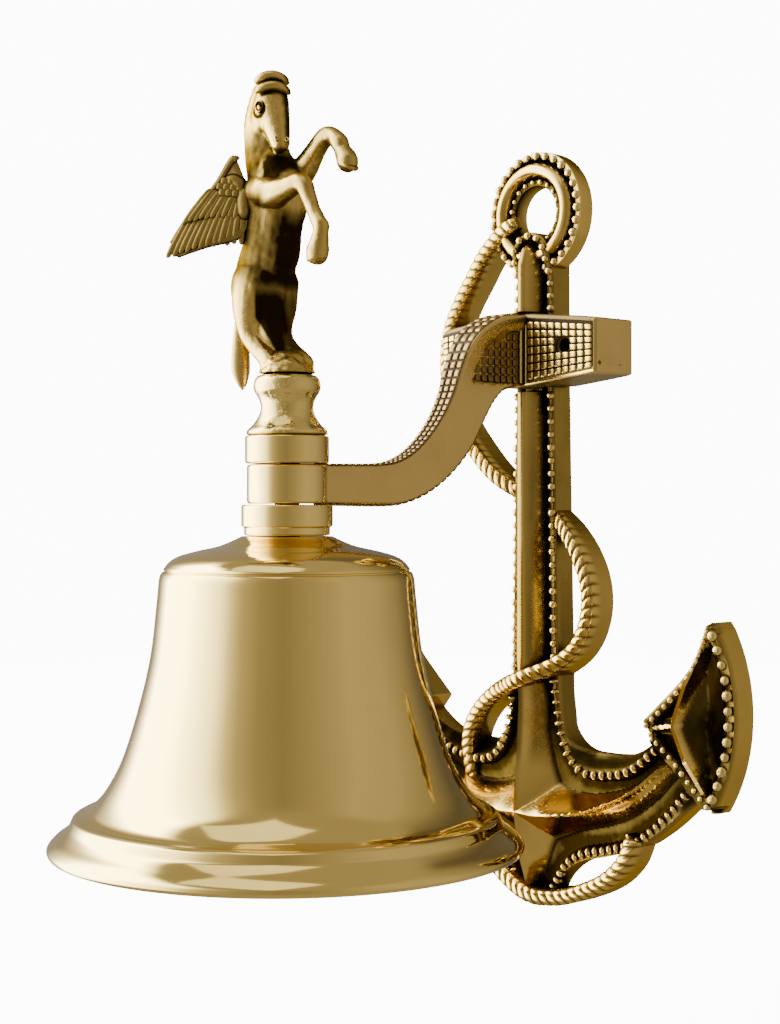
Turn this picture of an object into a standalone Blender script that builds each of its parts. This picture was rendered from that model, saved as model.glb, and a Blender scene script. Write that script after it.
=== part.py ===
"""Wall-hung brass ship bell on an entwined-anchor plate.

The wall is the plane Y = 0 and the bell hangs in front of it, towards -Y.
The origin is on the anchor's flat back, level with the eye that carries the bell.
Lengths below are millimetres, and MM turns them into metres.
"""

import math

import bmesh
import bpy
from mathutils import Vector

MM = 0.001
GAP = 0.3  # clearance between neighbouring pieces

# Bell
REACH = 124.0  # wall to bell axis
RIM_RADIUS = 76.0
RIM_BOTTOM = -116.5
SHOULDER_RADIUS = 39.5
SHOULDER_Z = -27.0
CROWN_Z = -16.6
CROWN_RADIUS = 14.7
WALL = 3.4

# Stack on the bell's axis
EYE_RADIUS = 12.9
EYE_TOP, EYE_BOTTOM = 6.4, -6.2
COLLAR_RADIUS = 14.7
TOP_COLLAR_RADIUS = 13.5
TOP_COLLAR_TOP = 15.6
FINIAL_TOP = 35.0
BOLT_RADIUS = 4.0

# Anchor plate
PLATE_FRONT = -10.0
RING_Z, RING_RADIUS, RING_HOLE = 99.0, 22.4, 10.0
SHANK_TOP = 92.0
TIP_Z = -152.5

# Stock and bracket arm
STOCK_FRONT = -20.0
STOCK_MID_Z = 48.5
STOCK_HALF = 38.4

# Clapper
LINK_PIVOT_Z = -40.4
ROD_PIVOT_Z = -50.7
BALL_Z, BALL_RADIUS = -92.0, 10.5
TAIL_Z = -108.0


def clear_scene():
    for old in list(bpy.data.objects):
        bpy.data.objects.remove(old, do_unlink=True)


def brass(name, colour, roughness):
    """A brass with its own tint and polish."""
    material = bpy.data.materials.new(name)
    material.use_nodes = True
    shader = material.node_tree.nodes["Principled BSDF"]
    shader.inputs["Base Color"].default_value = (*colour, 1.0)
    shader.inputs["Metallic"].default_value = 1.0
    shader.inputs["Roughness"].default_value = roughness
    material.diffuse_color = (*colour, 1.0)
    return material


def finish(name, bm, material, origin=(0, 0, 0)):
    """Turns a bmesh in millimetres into a named object whose origin is at the given point."""
    bmesh.ops.recalc_face_normals(bm, faces=bm.faces)
    at = Vector(origin)
    for vertex in bm.verts:
        vertex.co = (vertex.co - at) * MM
    mesh = bpy.data.meshes.new(name)
    bm.to_mesh(mesh)
    bm.free()
    mesh.materials.append(material)
    made = bpy.data.objects.new(name, mesh)
    bpy.context.scene.collection.objects.link(made)
    made.location = at * MM
    return made


def helper(name, bm, material):
    """A piece that only serves a Boolean."""
    made = finish(name, bm, material)
    made.hide_render = True
    made.display_type = "WIRE"
    return made


def boolean(target, other, operation):
    step = target.modifiers.new(f"{operation.lower()} {other.name}", "BOOLEAN")
    step.operation = operation
    step.solver = "EXACT"
    step.object = other
    return step


def loft(sections, closed=False):
    """A closed body through rings of points that all have the same count."""
    bm = bmesh.new()
    rings = [[bm.verts.new(point) for point in section] for section in sections]
    count = len(rings[0])
    pairs = list(zip(rings, rings[1:]))
    if closed:
        pairs.append((rings[-1], rings[0]))
    for near, far in pairs:
        for i in range(count):
            j = (i + 1) % count
            bm.faces.new((near[i], near[j], far[j], far[i]))
    if not closed:
        bm.faces.new(reversed(rings[0]))
        bm.faces.new(rings[-1])
    return bm


def circle(radius, count, centre, across, up):
    """Points round a circle in the plane of two unit vectors."""
    turns = [2 * math.pi * i / count for i in range(count)]
    return [Vector(centre) + radius * (math.cos(t) * Vector(across) + math.sin(t) * Vector(up)) for t in turns]


def lathe(profile, count=40, axis=(0.0, -REACH)):
    """Turns a closed profile of (radius, z), none on the axis, about a vertical line."""
    sections = []
    for i in range(count):
        turn = 2 * math.pi * i / count
        sections.append([(axis[0] + r * math.cos(turn), axis[1] + r * math.sin(turn), z) for r, z in profile])
    return loft(sections, closed=True)


def solid_lathe(profile, count=32, axis=(0.0, -REACH)):
    """Turns an open profile of (radius, z) about a vertical line, and caps its two flat ends."""
    across, up = (1, 0, 0), (0, 1, 0)
    return loft([circle(r, count, (axis[0], axis[1], z), across, up) for r, z in profile])


def tube(points, radii, count=10):
    """A closed tube through points; radii has one value per point, or a pair (wide, tall)."""
    points = [Vector(p) for p in points]
    sections, side = [], None
    for i, point in enumerate(points):
        ahead = points[min(i + 1, len(points) - 1)] - points[max(i - 1, 0)]
        ahead.normalize()
        if side is None:
            side = ahead.orthogonal().normalized()
        side = (side - side.dot(ahead) * ahead).normalized()
        up = ahead.cross(side)
        size = radii[i] if isinstance(radii[i], tuple) else (radii[i], radii[i])
        ring = []
        for k in range(count):
            turn = 2 * math.pi * k / count
            ring.append(point + size[0] * math.cos(turn) * side + size[1] * math.sin(turn) * up)
        sections.append(ring)
    return loft(sections)


def prism(outline, front, back):
    """An outline of (x, z) carried from Y = front to Y = back."""
    return loft([[(x, front, z) for x, z in outline], [(x, back, z) for x, z in outline]])


def smooth_path(points, steps=4):
    """Catmull-Rom points through a list of points of any size."""
    points = [Vector(p) for p in points]
    padded = [2 * points[0] - points[1], *points, 2 * points[-1] - points[-2]]
    made = []
    for a, b, c, d in zip(padded, padded[1:], padded[2:], padded[3:]):
        for k in range(steps):
            t = k / steps
            made.append(0.5 * ((2 * b) + (c - a) * t + (2 * a - 5 * b + 4 * c - d) * t**2
                               + (3 * b - a - 3 * c + d) * t**3))
    made.append(points[-1])
    return made


def arc(centre, radius, start, end, steps):
    """Points (x, z) on an arc, angles in degrees."""
    made = []
    for i in range(steps + 1):
        turn = math.radians(start + (end - start) * i / steps)
        made.append((centre[0] + radius * math.cos(turn), centre[1] + radius * math.sin(turn)))
    return made


def bell_shell(material):
    """Domed crown, grooved shoulder, waist and flared lip, one wall thick, with a hole for the bolt."""
    waist = smooth_path([(41.2, -31), (41.6, -38), (43.5, -54.5), (47.3, -71), (52.3, -87), (57.8, -97.5),
                         (62.5, -102.5), (65.5, -105.0)], 2)
    outer = [(CROWN_RADIUS - 4, CROWN_Z), (CROWN_RADIUS, CROWN_Z), (22.6, -19.9), (29, -21.3), (34.8, -23.2),
             (38, -25.4), (SHOULDER_RADIUS, SHOULDER_Z), (39.9, -27.6)]
    outer += [(p[0], p[1]) for p in waist]
    outer += [(67.4, -104.8), (68.4, -106.2), (69.0, -108.0), (73.5, -111.4), (RIM_RADIUS, -114.4),
              (75.6, -116.0), (74.4, RIM_BOTTOM)]
    inner = [(70.5, RIM_BOTTOM + 1.2), (65.5, -110.0), (60.0, -104.0)]
    inner += [(p[0] - WALL, p[1]) for p in reversed(waist[:-3])]
    inner += [(36.6, -29.6), (33, -26.6), (22, -23.6), (CROWN_RADIUS, CROWN_Z - 4.4), (BOLT_RADIUS + GAP, CROWN_Z - 4.4),
              (BOLT_RADIUS + GAP, CROWN_Z)]
    return finish("bell_shell", lathe(outer + inner, 56), material)


def ring_washer(name, inner, outer, low, high, material, count=32):
    profile = [(inner, high), (outer, high), (outer, low), (inner, low)]
    return finish(name, lathe(profile, count), material)


def stack(material):
    """Collars, finial base and the bolt that ties them through the arm's eye to the bell."""
    bore = BOLT_RADIUS + GAP
    low, high = CROWN_Z + GAP, EYE_BOTTOM - GAP
    finish("neck_collar", lathe([(bore, high), (14.0, high), (COLLAR_RADIUS, high - 1), (COLLAR_RADIUS, low + 1),
                                 (14.2, low), (bore, low)], 40), material)
    low, high = EYE_TOP + GAP, TOP_COLLAR_TOP
    finish("top_collar", lathe([(bore, high), (TOP_COLLAR_RADIUS - 0.6, high), (TOP_COLLAR_RADIUS, high - 0.8),
                                (TOP_COLLAR_RADIUS, low + 0.8), (TOP_COLLAR_RADIUS - 0.6, low), (bore, low)], 40),
           material)
    low = TOP_COLLAR_TOP + GAP
    base = solid_lathe([(13.1, low), (12.6, low + 1.5), (9.4, 21.5), (8.4, 24.5), (9.2, 27.5), (10.6, 31.0),
                        (10.3, 33.4), (9.2, FINIAL_TOP)], 40)
    base = finish("finial_base", base, material)
    socket = solid_lathe([(bore, low - 1), (bore, 28.0 + GAP)], 24)
    boolean(base, helper("finial_socket_cutter", socket, material), "DIFFERENCE")


def bolt_and_fasteners(material, steel):
    """The hanging bolt has a thread above and an eye below; washers and a nut clamp the bell to it."""
    seat = CROWN_Z - 4.4
    stem = finish("hanger_bolt", solid_lathe([(BOLT_RADIUS, 28.0), (BOLT_RADIUS, -34.2)], 20), steel)
    eye = []
    for i in range(20):
        turn = 2 * math.pi * i / 20
        out = Vector((0, math.cos(turn), math.sin(turn)))
        centre = Vector((0, -REACH, LINK_PIVOT_Z + 1.7)) + 5.0 * out
        eye.append(circle(1.7, 10, centre, out, (1, 0, 0)))
    boolean(stem, helper("bolt_eye_body", loft(eye, closed=True), steel), "UNION")
    bore = BOLT_RADIUS + GAP
    ring_washer("inner_washer", bore, 10.0, seat - GAP - 1.6, seat - GAP, steel)
    ring_washer("inner_lock_washer", bore, 7.2, seat - 2 * GAP - 3.2, seat - 2 * GAP - 1.6, steel)
    low, high = seat - 3 * GAP - 9.2, seat - 3 * GAP - 3.2
    nut = finish("inner_nut", solid_lathe([(6.9, high), (7.5, high - 0.5), (7.5, low + 0.5), (6.9, low)], 6), steel)
    boolean(nut, helper("nut_bore_cutter", solid_lathe([(bore, high + 1), (bore, low - 1)], 24), steel), "DIFFERENCE")


def clapper(material, steel):
    """A closed link hangs from the bolt's eye; the rod, ball and lanyard eye hang from the link."""
    wire, bend = 1.3, 4.2
    middle = (LINK_PIVOT_Z + ROD_PIVOT_Z) / 2
    run = (LINK_PIVOT_Z - ROD_PIVOT_Z) / 2 - bend
    path = []
    for i in range(9):
        turn = math.pi * i / 8
        path.append((bend * math.cos(turn), run + bend * math.sin(turn)))
    for i in range(9):
        turn = math.pi + math.pi * i / 8
        path.append((bend * math.cos(turn), -run + bend * math.sin(turn)))
    count = len(path)
    rings = []
    for i, (x, z) in enumerate(path):
        ahead = Vector(path[(i + 1) % count]) - Vector(path[i - 1])
        ahead.normalize()
        out = Vector((ahead.y, 0, -ahead.x))
        rings.append(circle(wire, 8, (x, -REACH, middle + z), out, (0, 1, 0)))
    link = finish("clapper_link", loft(rings, closed=True), steel, (0, -REACH, LINK_PIVOT_Z))
    pivot = (0, -REACH, ROD_PIVOT_Z)
    rod = solid_lathe([(2.4, ROD_PIVOT_Z - 6.2), (2.3, ROD_PIVOT_Z - 12), (2.8, BALL_Z + BALL_RADIUS + 3),
                       (4.4, BALL_Z + BALL_RADIUS - 0.2)], 16)
    rod = finish("clapper_rod", rod, material, pivot)
    eye = []
    for i in range(20):
        turn = 2 * math.pi * i / 20
        out = Vector((0, math.cos(turn), math.sin(turn)))
        centre = Vector((0, -REACH, ROD_PIVOT_Z - 1.6)) + 4.7 * out
        eye.append(circle(1.5, 10, centre, out, (1, 0, 0)))
    boolean(rod, helper("rod_eye_body", loft(eye, closed=True), material), "UNION")
    profile = []
    for i in range(1, 12):
        turn = math.pi * i / 12
        profile.append((BALL_RADIUS * math.sin(turn), BALL_Z + BALL_RADIUS * math.cos(turn)))
    ball = finish("clapper_ball", solid_lathe(profile, 28), material, pivot)
    seat = helper("ball_top_cutter", solid_lathe([(9, BALL_Z + BALL_RADIUS + 2), (9, BALL_Z + BALL_RADIUS - 0.5)], 20),
                  material)
    boolean(ball, seat, "DIFFERENCE")
    under = helper("ball_foot_cutter", solid_lathe([(9, BALL_Z - BALL_RADIUS + 0.6), (9, BALL_Z - BALL_RADIUS - 2)], 20),
                   material)
    boolean(ball, under, "DIFFERENCE")
    tail = solid_lathe([(2.4, BALL_Z - BALL_RADIUS + 0.3), (2.0, TAIL_Z + 3.2)], 16)
    tail = finish("lanyard_eye", tail, material, pivot)
    eye = []
    for i in range(18):
        turn = 2 * math.pi * i / 18
        out = Vector((0, math.cos(turn), math.sin(turn)))
        centre = Vector((0, -REACH, TAIL_Z)) + 3.4 * out
        eye.append(circle(1.2, 8, centre, out, (1, 0, 0)))
    boolean(tail, helper("lanyard_ring_body", loft(eye, closed=True), material), "UNION")
    return link


def plate_outline():
    """Right half of the anchor's outline from the top of the shank round to the bottom tip, then mirrored."""
    half = arc((0, SHANK_TOP - 9), 9.0, 90, 0, 5)
    half += [(9.2, 40), (10.8, -40), (11.5, -74)]
    half += arc((25.8, -80.5), 14.0, 205, 268, 4)
    half += [(33, -94.5), (42, -93.5), (50, -90), (56.5, -85.5), (52.2, -80.4), (60, -73.4), (67.5, -66.5)]
    half += [(73.5, -59.5), (77.4, -51.5), (79.4, -45.6), (81.6, -45.4)]
    half += arc((29.9, -76.5), 60.7, 28, -28, 8)
    half += [(81.2, -109.0), (78.0, -109.4), (73.5, -105.5), (66.5, -112), (58.5, -118.5), (48, -125), (35, -129.5), (21, -133.5)]
    half += [(12, -140), (6.5, -148.5), (2.2, TIP_Z + 0.3)]
    left = [(-x, z) for x, z in reversed(half) if x > 1e-6]
    return half + left


def ridge_bar(path, widths, front, back):
    """A raised bar with a rounded front, along points (x, z); each width is the bar's half width there."""
    points = [Vector(p) for p in path]
    sections = []
    for i, point in enumerate(points):
        ahead = (points[min(i + 1, len(points) - 1)] - points[max(i - 1, 0)]).normalized()
        side = Vector((-ahead.y, ahead.x))
        half = widths[i]
        shape = [(-1, 0), (-1, 0.35), (-0.82, 0.72), (-0.45, 0.94), (0, 1), (0.45, 0.94), (0.82, 0.72), (1, 0.35), (1, 0)]
        top = front[i] if isinstance(front, list) else front
        sections.append([(point.x + side.x * half * s, back + (top - back) * h, point.y + side.y * half * s)
                         for s, h in shape])
    return loft(sections)


def faceted_rise(outline, apex, floor, crest):
    """A low pyramid on an outline of (x, z): its sides rise from Y = floor to a point or ridge at Y = crest."""
    bm = bmesh.new()
    back = [bm.verts.new((x, floor + 4, z)) for x, z in outline]
    front = [bm.verts.new((x, floor, z)) for x, z in outline]
    peaks = [bm.verts.new((x, crest, z)) for x, z in apex]
    count = len(outline)
    for i in range(count):
        j = (i + 1) % count
        bm.faces.new((back[i], back[j], front[j], front[i]))
    bm.faces.new(reversed(back))
    near = [min(range(len(apex)), key=lambda k, p=p: (apex[k][0] - p[0]) ** 2 + (apex[k][1] - p[1]) ** 2)
            for p in outline]
    for i in range(count):
        j = (i + 1) % count
        bm.faces.new((front[i], front[j], peaks[near[j]]))
        if near[i] != near[j]:
            bm.faces.new((front[i], peaks[near[j]], peaks[near[i]]))
    return bm


def rope_path():
    """The rope's centre line (x, z), from the ring down round the anchor to the right arm."""
    return smooth_path([(-5.5, 97), (-15, 93.2), (-24, 86), (-31, 77), (-37.4, 68.5), (-42.3, 59), (-44.0, 48),
                        (-42.8, 36), (-37.8, 24), (-29, 13.5), (-20, 5), (-10, -1.5), (0, -6.5), (11.5, -13),
                        (20, -21), (26, -31), (27.8, -41), (25.8, -50.5), (20.5, -58.5), (12, -64.5), (2, -69),
                        (-8, -72.4), (-17, -76), (-25.5, -82), (-31, -89.5), (-33.5, -98), (-33.8, -108),
                        (-32.5, -118), (-29.5, -127.5), (-22, -136.5), (-12, -143.5), (0, -147.6), (13, -147),
                        (25, -143), (36, -137.4), (44, -129.8), (48, -121)], 2)


def rope_front(x, z):
    """How far the rope's face stands out: over the shank at its lower crossing, under it at the upper one."""
    over = math.exp(-((x / 14) ** 2) - ((z + 70) / 12) ** 2)
    under = math.exp(-((x / 15) ** 2) - ((z + 7) / 15) ** 2)
    behind = math.exp(-(((x + 33) / 12) ** 2) - ((z + 112) / 13) ** 2)
    foot = math.exp(-((x / 11) ** 2) - ((z + 148) / 9) ** 2)
    return -13.2 - 7.0 * over + 6.5 * under + 4.0 * behind - 1.5 * foot


def anchor(material):
    """Anchor, shackle ring and entwined rope: one casting with a flat back."""
    body = finish("anchor_casting", prism(plate_outline(), PLATE_FRONT, 0.0), material)
    ring = []
    shape = [(RING_HOLE, -2.4), (RING_RADIUS, -2.4), (RING_RADIUS, -8.0), (19.0, -8.6), (17.4, -10.9), (15.8, -11.8),
             (14.2, -10.9), (12.6, -8.6), (RING_HOLE, -8.0)]
    for i in range(40):
        turn = 2 * math.pi * i / 40
        ring.append([(r * math.cos(turn), y, RING_Z + r * math.sin(turn)) for r, y in shape])
    boolean(body, helper("shackle_ring_body", loft(ring, closed=True), material), "UNION")
    above = [(0, 88.5), (0, 84), (0, 78), (0, STOCK_MID_Z + 15.5)]
    boolean(body, helper("keel_above_body", ridge_bar(above, [2.4, 4.6, 5.2, 5.4], [-13, -16.5, -17, -17],
                                                      PLATE_FRONT + 3), material), "UNION")
    below = [(0, STOCK_MID_Z - 15.5), (0, 0), (0, -60), (0, -80), (0, -100), (0, -118), (0, -135), (0, -148)]
    boolean(body, helper("keel_below_body", ridge_bar(below, [5.4, 5.8, 6.6, 7.6, 12, 17, 9, 2.5],
                                                      [-17, -17, -17, -17.5, -19, -20, -17, -12],
                                                      PLATE_FRONT + 3), material), "UNION")
    for side, word in ((1, "right"), (-1, "left")):
        arm = [(x * side, z) for x, z in smooth_path([(0, -115), (14, -114.5), (28, -112.5), (42, -107.5),
                                                      (54, -100), (62, -92.5)], 2)]
        count = len(arm)
        widths = [13.5 - 8.0 * (i / (count - 1)) ** 1.2 for i in range(count)]
        fronts = [-20 + 5.5 * i / (count - 1) for i in range(count)]
        bar = ridge_bar(arm, widths, fronts, PLATE_FRONT + 3.5)
        boolean(body, helper(f"arm_ridge_{word}", bar, material), "UNION")
        palm = [(57.5 * side, -81), (69 * side, -70), (78.5 * side, -55.5), (85 * side, -64), (87 * side, -78),
                (85 * side, -93), (79.5 * side, -103), (68 * side, -92)]
        peaks = [(78.5 * side, -58.5), (69.5 * side, -79), (79 * side, -99.5)]
        boolean(body, helper(f"palm_rise_{word}", faceted_rise(palm, peaks, PLATE_FRONT - 0.8, -18.0), material),
                "UNION")
    route = rope_path()
    fronts = [rope_front(p.x, p.y) for p in route]
    boolean(body, helper("rope_body", ridge_bar(route, [2.9] * len(route), fronts, -0.8), material), "UNION")
    for z in (STOCK_MID_Z - 6.5, STOCK_MID_Z + 6.5):
        hole = [circle(r, 20, (0, y, z), (1, 0, 0), (0, 0, 1))
                for r, y in ((5.6, 1.0), (5.6, -4.2), (2.5 + GAP, -4.2), (2.5 + GAP, -14.0))]
        boolean(body, helper(f"screw_hole_{round(z)}", loft(hole), material), "DIFFERENCE")
    return body


def arm_sections():
    """The swan neck's sections from the eye to the stock: centre (y, z), half height and half width."""
    return [((-113.5, 0.1), 6.2, 3.4), ((-100, 0.0), 6.4, 3.4), ((-88, 0.0), 6.6, 3.5), ((-78, 0.8), 6.9, 3.6),
            ((-68.0, 4.4), 7.4, 3.7), ((-59.0, 10.6), 8.0, 3.9), ((-51.5, 18.6), 8.4, 4.2), ((-46.0, 27.8), 8.6, 4.6),
            ((-41.5, 36.5), 9.8, 5.2), ((-36.0, 43.6), 11.6, 5.8), ((-28.0, 47.8), 12.6, 6.2), ((-18.6, 48.6), 12.8, 6.4)]


def bracket(material):
    """Stock, swan neck and eye: one casting. A slot at the back of the stock straddles the shank."""
    stock = []
    for x, half, front in ((-STOCK_HALF, 9.6, STOCK_FRONT + 1.0), (-20, 11.6, STOCK_FRONT), (-8, 13, STOCK_FRONT),
                           (8, 13, STOCK_FRONT), (20, 11.6, STOCK_FRONT), (STOCK_HALF, 9.6, STOCK_FRONT + 1.0)):
        low, high = STOCK_MID_Z - half, STOCK_MID_Z + half
        stock.append([(x, 0.0, low), (x, front, low + 0.8), (x, front, high - 0.8), (x, 0.0, high)])
    body = finish("bracket_arm", loft(stock), material)
    neck = []
    sections = arm_sections()
    for i, ((y, z), half, width) in enumerate(sections):
        ahead = Vector(sections[min(i + 1, len(sections) - 1)][0]) - Vector(sections[max(i - 1, 0)][0])
        ahead.normalize()
        across = Vector((-ahead.y, ahead.x))
        ring = []
        for u, v in ((-1, -0.82), (-0.8, -1), (0.8, -1), (1, -0.82), (1, 0.82), (0.8, 1), (-0.8, 1), (-1, 0.82)):
            ring.append((u * width, y + across.x * half * v, z + across.y * half * v))
        neck.append(ring)
    boolean(body, helper("swan_neck_body", loft(neck), material), "UNION")
    eye = solid_lathe([(EYE_RADIUS - 0.9, EYE_TOP), (EYE_RADIUS, EYE_TOP - 1.2), (EYE_RADIUS, EYE_BOTTOM + 1.2),
                       (EYE_RADIUS - 0.9, EYE_BOTTOM)], 40)
    boolean(body, helper("eye_body", eye, material), "UNION")
    bore = solid_lathe([(BOLT_RADIUS + GAP, EYE_TOP + 2), (BOLT_RADIUS + GAP, EYE_BOTTOM - 2)], 24)
    boolean(body, helper("eye_bore_cutter", bore, material), "DIFFERENCE")
    slot = [(-11.2, STOCK_MID_Z - 16), (11.2, STOCK_MID_Z - 16), (11.2, STOCK_MID_Z + 16), (-11.2, STOCK_MID_Z + 16)]
    boolean(body, helper("shank_slot_cutter", prism(slot, PLATE_FRONT - GAP, 1.0), material), "DIFFERENCE")
    for x in (-24.0, 24.0):
        hole = loft([circle(2.6, 20, (x, y, STOCK_MID_Z + 0.5), (1, 0, 0), (0, 0, 1)) for y in (2.0, -22.0)])
        boolean(body, helper(f"wall_screw_hole_{round(x)}", hole, material), "DIFFERENCE")
    for z in (STOCK_MID_Z - 6.5, STOCK_MID_Z + 6.5):
        hole = loft([circle(2.5 + GAP, 20, (0, y, z), (1, 0, 0), (0, 0, 1)) for y in (-8.0, -18.4)])
        boolean(body, helper(f"arm_thread_{round(z)}", hole, material), "DIFFERENCE")
    return body


def arm_screws(steel):
    """Two screws from behind hold the bracket arm to the anchor, each with a washer in a counterbore."""
    for z, word in ((STOCK_MID_Z + 6.5, "upper"), (STOCK_MID_Z - 6.5, "lower")):
        across, up = (1, 0, 0), (0, 0, 1)
        washer = [(r, y) for r, y in ((2.9, -3.9), (5.2, -3.9), (5.2, -3.1), (2.9, -3.1))]
        rings = []
        for i in range(24):
            turn = 2 * math.pi * i / 24
            rings.append([(r * math.cos(turn), y, z + r * math.sin(turn)) for r, y in washer])
        finish(f"arm_washer_{word}", loft(rings, closed=True), steel)
        screw = loft([circle(r, 20, (0, y, z), across, up)
                      for r, y in ((4.3, -0.5), (4.5, -0.9), (4.5, -2.8), (2.5, -2.8), (2.5, -17.8))])
        finish(f"arm_screw_{word}", screw, steel)


def horse(material):
    """A rearing winged horse on a rough mound, heading along +X, standing on the finial base."""
    def at(x, y, z):
        return (x, y - REACH, z)

    low = FINIAL_TOP + GAP
    mound = solid_lathe([(8.9, low), (8.2, low + 2.5), (6.0, low + 6.0), (3.0, low + 8.0)], 20)
    body = finish("horse_figure", mound, material)
    limbs = {
        "torso": ([at(-15.5, 0, 56), at(-16, 0, 66), at(-13.5, 0, 78), at(-10, 0, 90), at(-9, 0, 100), at(-11.5, 0, 108)],
                  [(5.5, 5.5), (10.6, 9.8), (9.6, 9.2), (10.4, 9.4), (9.2, 8.2), (5.5, 5.5)]),
        "neck": ([at(-9, 0, 98), at(-11.5, 0, 110), at(-12, 0, 120), at(-9.5, 0, 129), at(-6, -1.0, 131.5)],
                 [(7.5, 6.4), (6.4, 5.2), (5.6, 4.6), (4.6, 4.0), (2.4, 2.4)]),
        "head": ([at(-10.5, 0.4, 131), at(-7.5, -1.4, 126), at(-3.5, -3.4, 117.5), at(-0.5, -5.0, 109.5), at(0.2, -5.4, 107.2)],
                 [(3.6, 3.6), (4.8, 4.4), (3.8, 3.4), (2.7, 2.5), (1.8, 1.8)]),
        "near_foreleg": ([at(-7, -6, 96), at(2, -6.5, 93.5), at(12, -5.5, 94), at(15.5, -5, 86), at(18, -5, 77), at(19, -5, 70)],
                         [4.6, 3.8, 3.0, 2.4, 2.2, 3.2]),
        "far_foreleg": ([at(-6, 6, 99), at(2, 6.2, 105), at(9, 6, 112), at(14, 6.4, 110.5), at(18, 6.6, 105.5), at(20.5, 6.8, 101)],
                        [4.4, 3.4, 3.0, 2.4, 2.4, 3.0]),
        "near_hind": ([at(-16.5, -4.5, 68), at(-14, -5, 58), at(-16, -4.8, 49), at(-8, -4.2, 42), at(-3.5, -3.8, 38.4)],
                      [6.8, 5.4, 3.2, 2.6, 3.2]),
        "far_hind": ([at(-15.5, 4.5, 68), at(-11, 5, 58), at(-12, 4.6, 49), at(-4, 4.2, 42), at(2.0, 3.8, 38.4)],
                     [6.8, 5.2, 3.2, 2.6, 3.2]),
        "tail": ([at(-20, 0, 70), at(-25, -1.5, 65), at(-26, -2.0, 52), at(-25.5, -2.0, 40), at(-25, -2.0, 33)],
                 [3.2, 3.4, 3.0, 2.8, 1.2]),
    }
    for word, (points, radii) in limbs.items():
        boolean(body, helper(f"horse_{word}_body", tube(points, radii, 10), material), "UNION")
    return body


def wings(material):
    """Two swept wings brazed to the horse's shoulders."""
    outline = [(-1.0, 15.0), (-6.0, 20.0), (-12.0, 15.5), (-19.0, 6.0), (-25.0, -7.5), (-23.5, -10.5), (-16.0, -9.0),
               (-7.0, -7.0), (-0.5, -6.5), (0.0, 4.0)]
    for side, word in ((-1, "right"), (1, "left")):
        root = Vector((-12.6, side * 10.8 - REACH, 87.0))
        out = Vector((0.62, -side * 0.78, 0)).normalized()
        face = Vector((0.78, side * 0.62, 0)).normalized()
        sections = []
        for half in (-1.1, 1.1):
            sections.append([root + out * u + Vector((0, 0, w)) + face * half for u, w in outline])
        finish(f"wing_{word}", loft(sections), material)


def build():
    clear_scene()
    polished = brass("polished brass", (0.62, 0.45, 0.17), 0.16)
    antique = brass("antique brass", (0.42, 0.29, 0.10), 0.34)
    fastener = brass("brass fastener", (0.55, 0.42, 0.20), 0.30)
    bell_shell(polished)
    stack(polished)
    bolt_and_fasteners(polished, fastener)
    clapper(antique, fastener)
    anchor(antique)
    bracket(antique)
    arm_screws(fastener)
    horse(antique)
    wings(antique)


build()
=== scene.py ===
"""Wall-hung brass ship bell on an entwined-anchor plate: the looks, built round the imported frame.

The wall is the plane Y = 0 and the bell hangs in front of it, towards -Y. Sizes are in millimetres, as cut
on the bench, and MM turns them into metres where a mesh is made.
"""

import math

import bmesh
import bpy
import numpy as np
from mathutils import Matrix, Vector, noise
from mathutils.geometry import delaunay_2d_cdt


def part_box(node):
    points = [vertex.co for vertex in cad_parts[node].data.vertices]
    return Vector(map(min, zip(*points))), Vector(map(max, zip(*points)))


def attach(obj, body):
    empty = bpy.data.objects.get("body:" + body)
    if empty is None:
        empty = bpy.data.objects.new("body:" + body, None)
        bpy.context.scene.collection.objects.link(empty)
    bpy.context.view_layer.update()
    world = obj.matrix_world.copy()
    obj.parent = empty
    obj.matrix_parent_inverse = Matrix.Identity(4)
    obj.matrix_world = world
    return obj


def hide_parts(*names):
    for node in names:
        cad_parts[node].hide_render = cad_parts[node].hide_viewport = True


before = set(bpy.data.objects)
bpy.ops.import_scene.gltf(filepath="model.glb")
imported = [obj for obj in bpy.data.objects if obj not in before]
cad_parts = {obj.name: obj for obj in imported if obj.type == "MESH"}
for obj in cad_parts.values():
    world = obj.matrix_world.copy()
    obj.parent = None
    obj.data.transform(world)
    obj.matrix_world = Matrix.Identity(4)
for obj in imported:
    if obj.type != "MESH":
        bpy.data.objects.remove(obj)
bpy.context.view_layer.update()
MM = 0.001


# ---------------------------------------------------------------------------------------------------------
# Anchor plate: the shank, crown, arms and palms of a sand-cast brass anchor with a flat back. The face is
# a ridge that stands in a sunken, blackened channel, inside a narrow border that carries the bead rows.
# Two counterbored holes in the back take the screws that hold the bracket.

PLATE_GRAIN = 0.66  # spacing of the face's mesh
SEAT_DEPTH = 9.2  # how far the border stands off the wall
CHANNEL_DEPTH = 6.6
BORDER = 2.5  # from the beads' centre line to where the ridge begins
PALM_SEAT, PALM_CHANNEL, PALM_BORDER = 11.4, 9.2, 2.3
PLATE_REACH = 86
RING_Z = 99.0
STOCK_LOW, STOCK_HIGH = 34.5, 62.5
SCREW_HEIGHTS = (42.0, 55.0)
SCREW_HEAD, SCREW_SHANK = (5.6, 4.2), (2.8, 8.6)  # radius and depth of each step of a screw hole


def arc(centre, radius, start, end, steps):
    """Points (x, z) on an arc, angles in degrees."""
    turns = [math.radians(start + (end - start) * i / steps) for i in range(steps + 1)]
    return [(centre[0] + radius * math.cos(t), centre[1] + radius * math.sin(t)) for t in turns]


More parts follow.
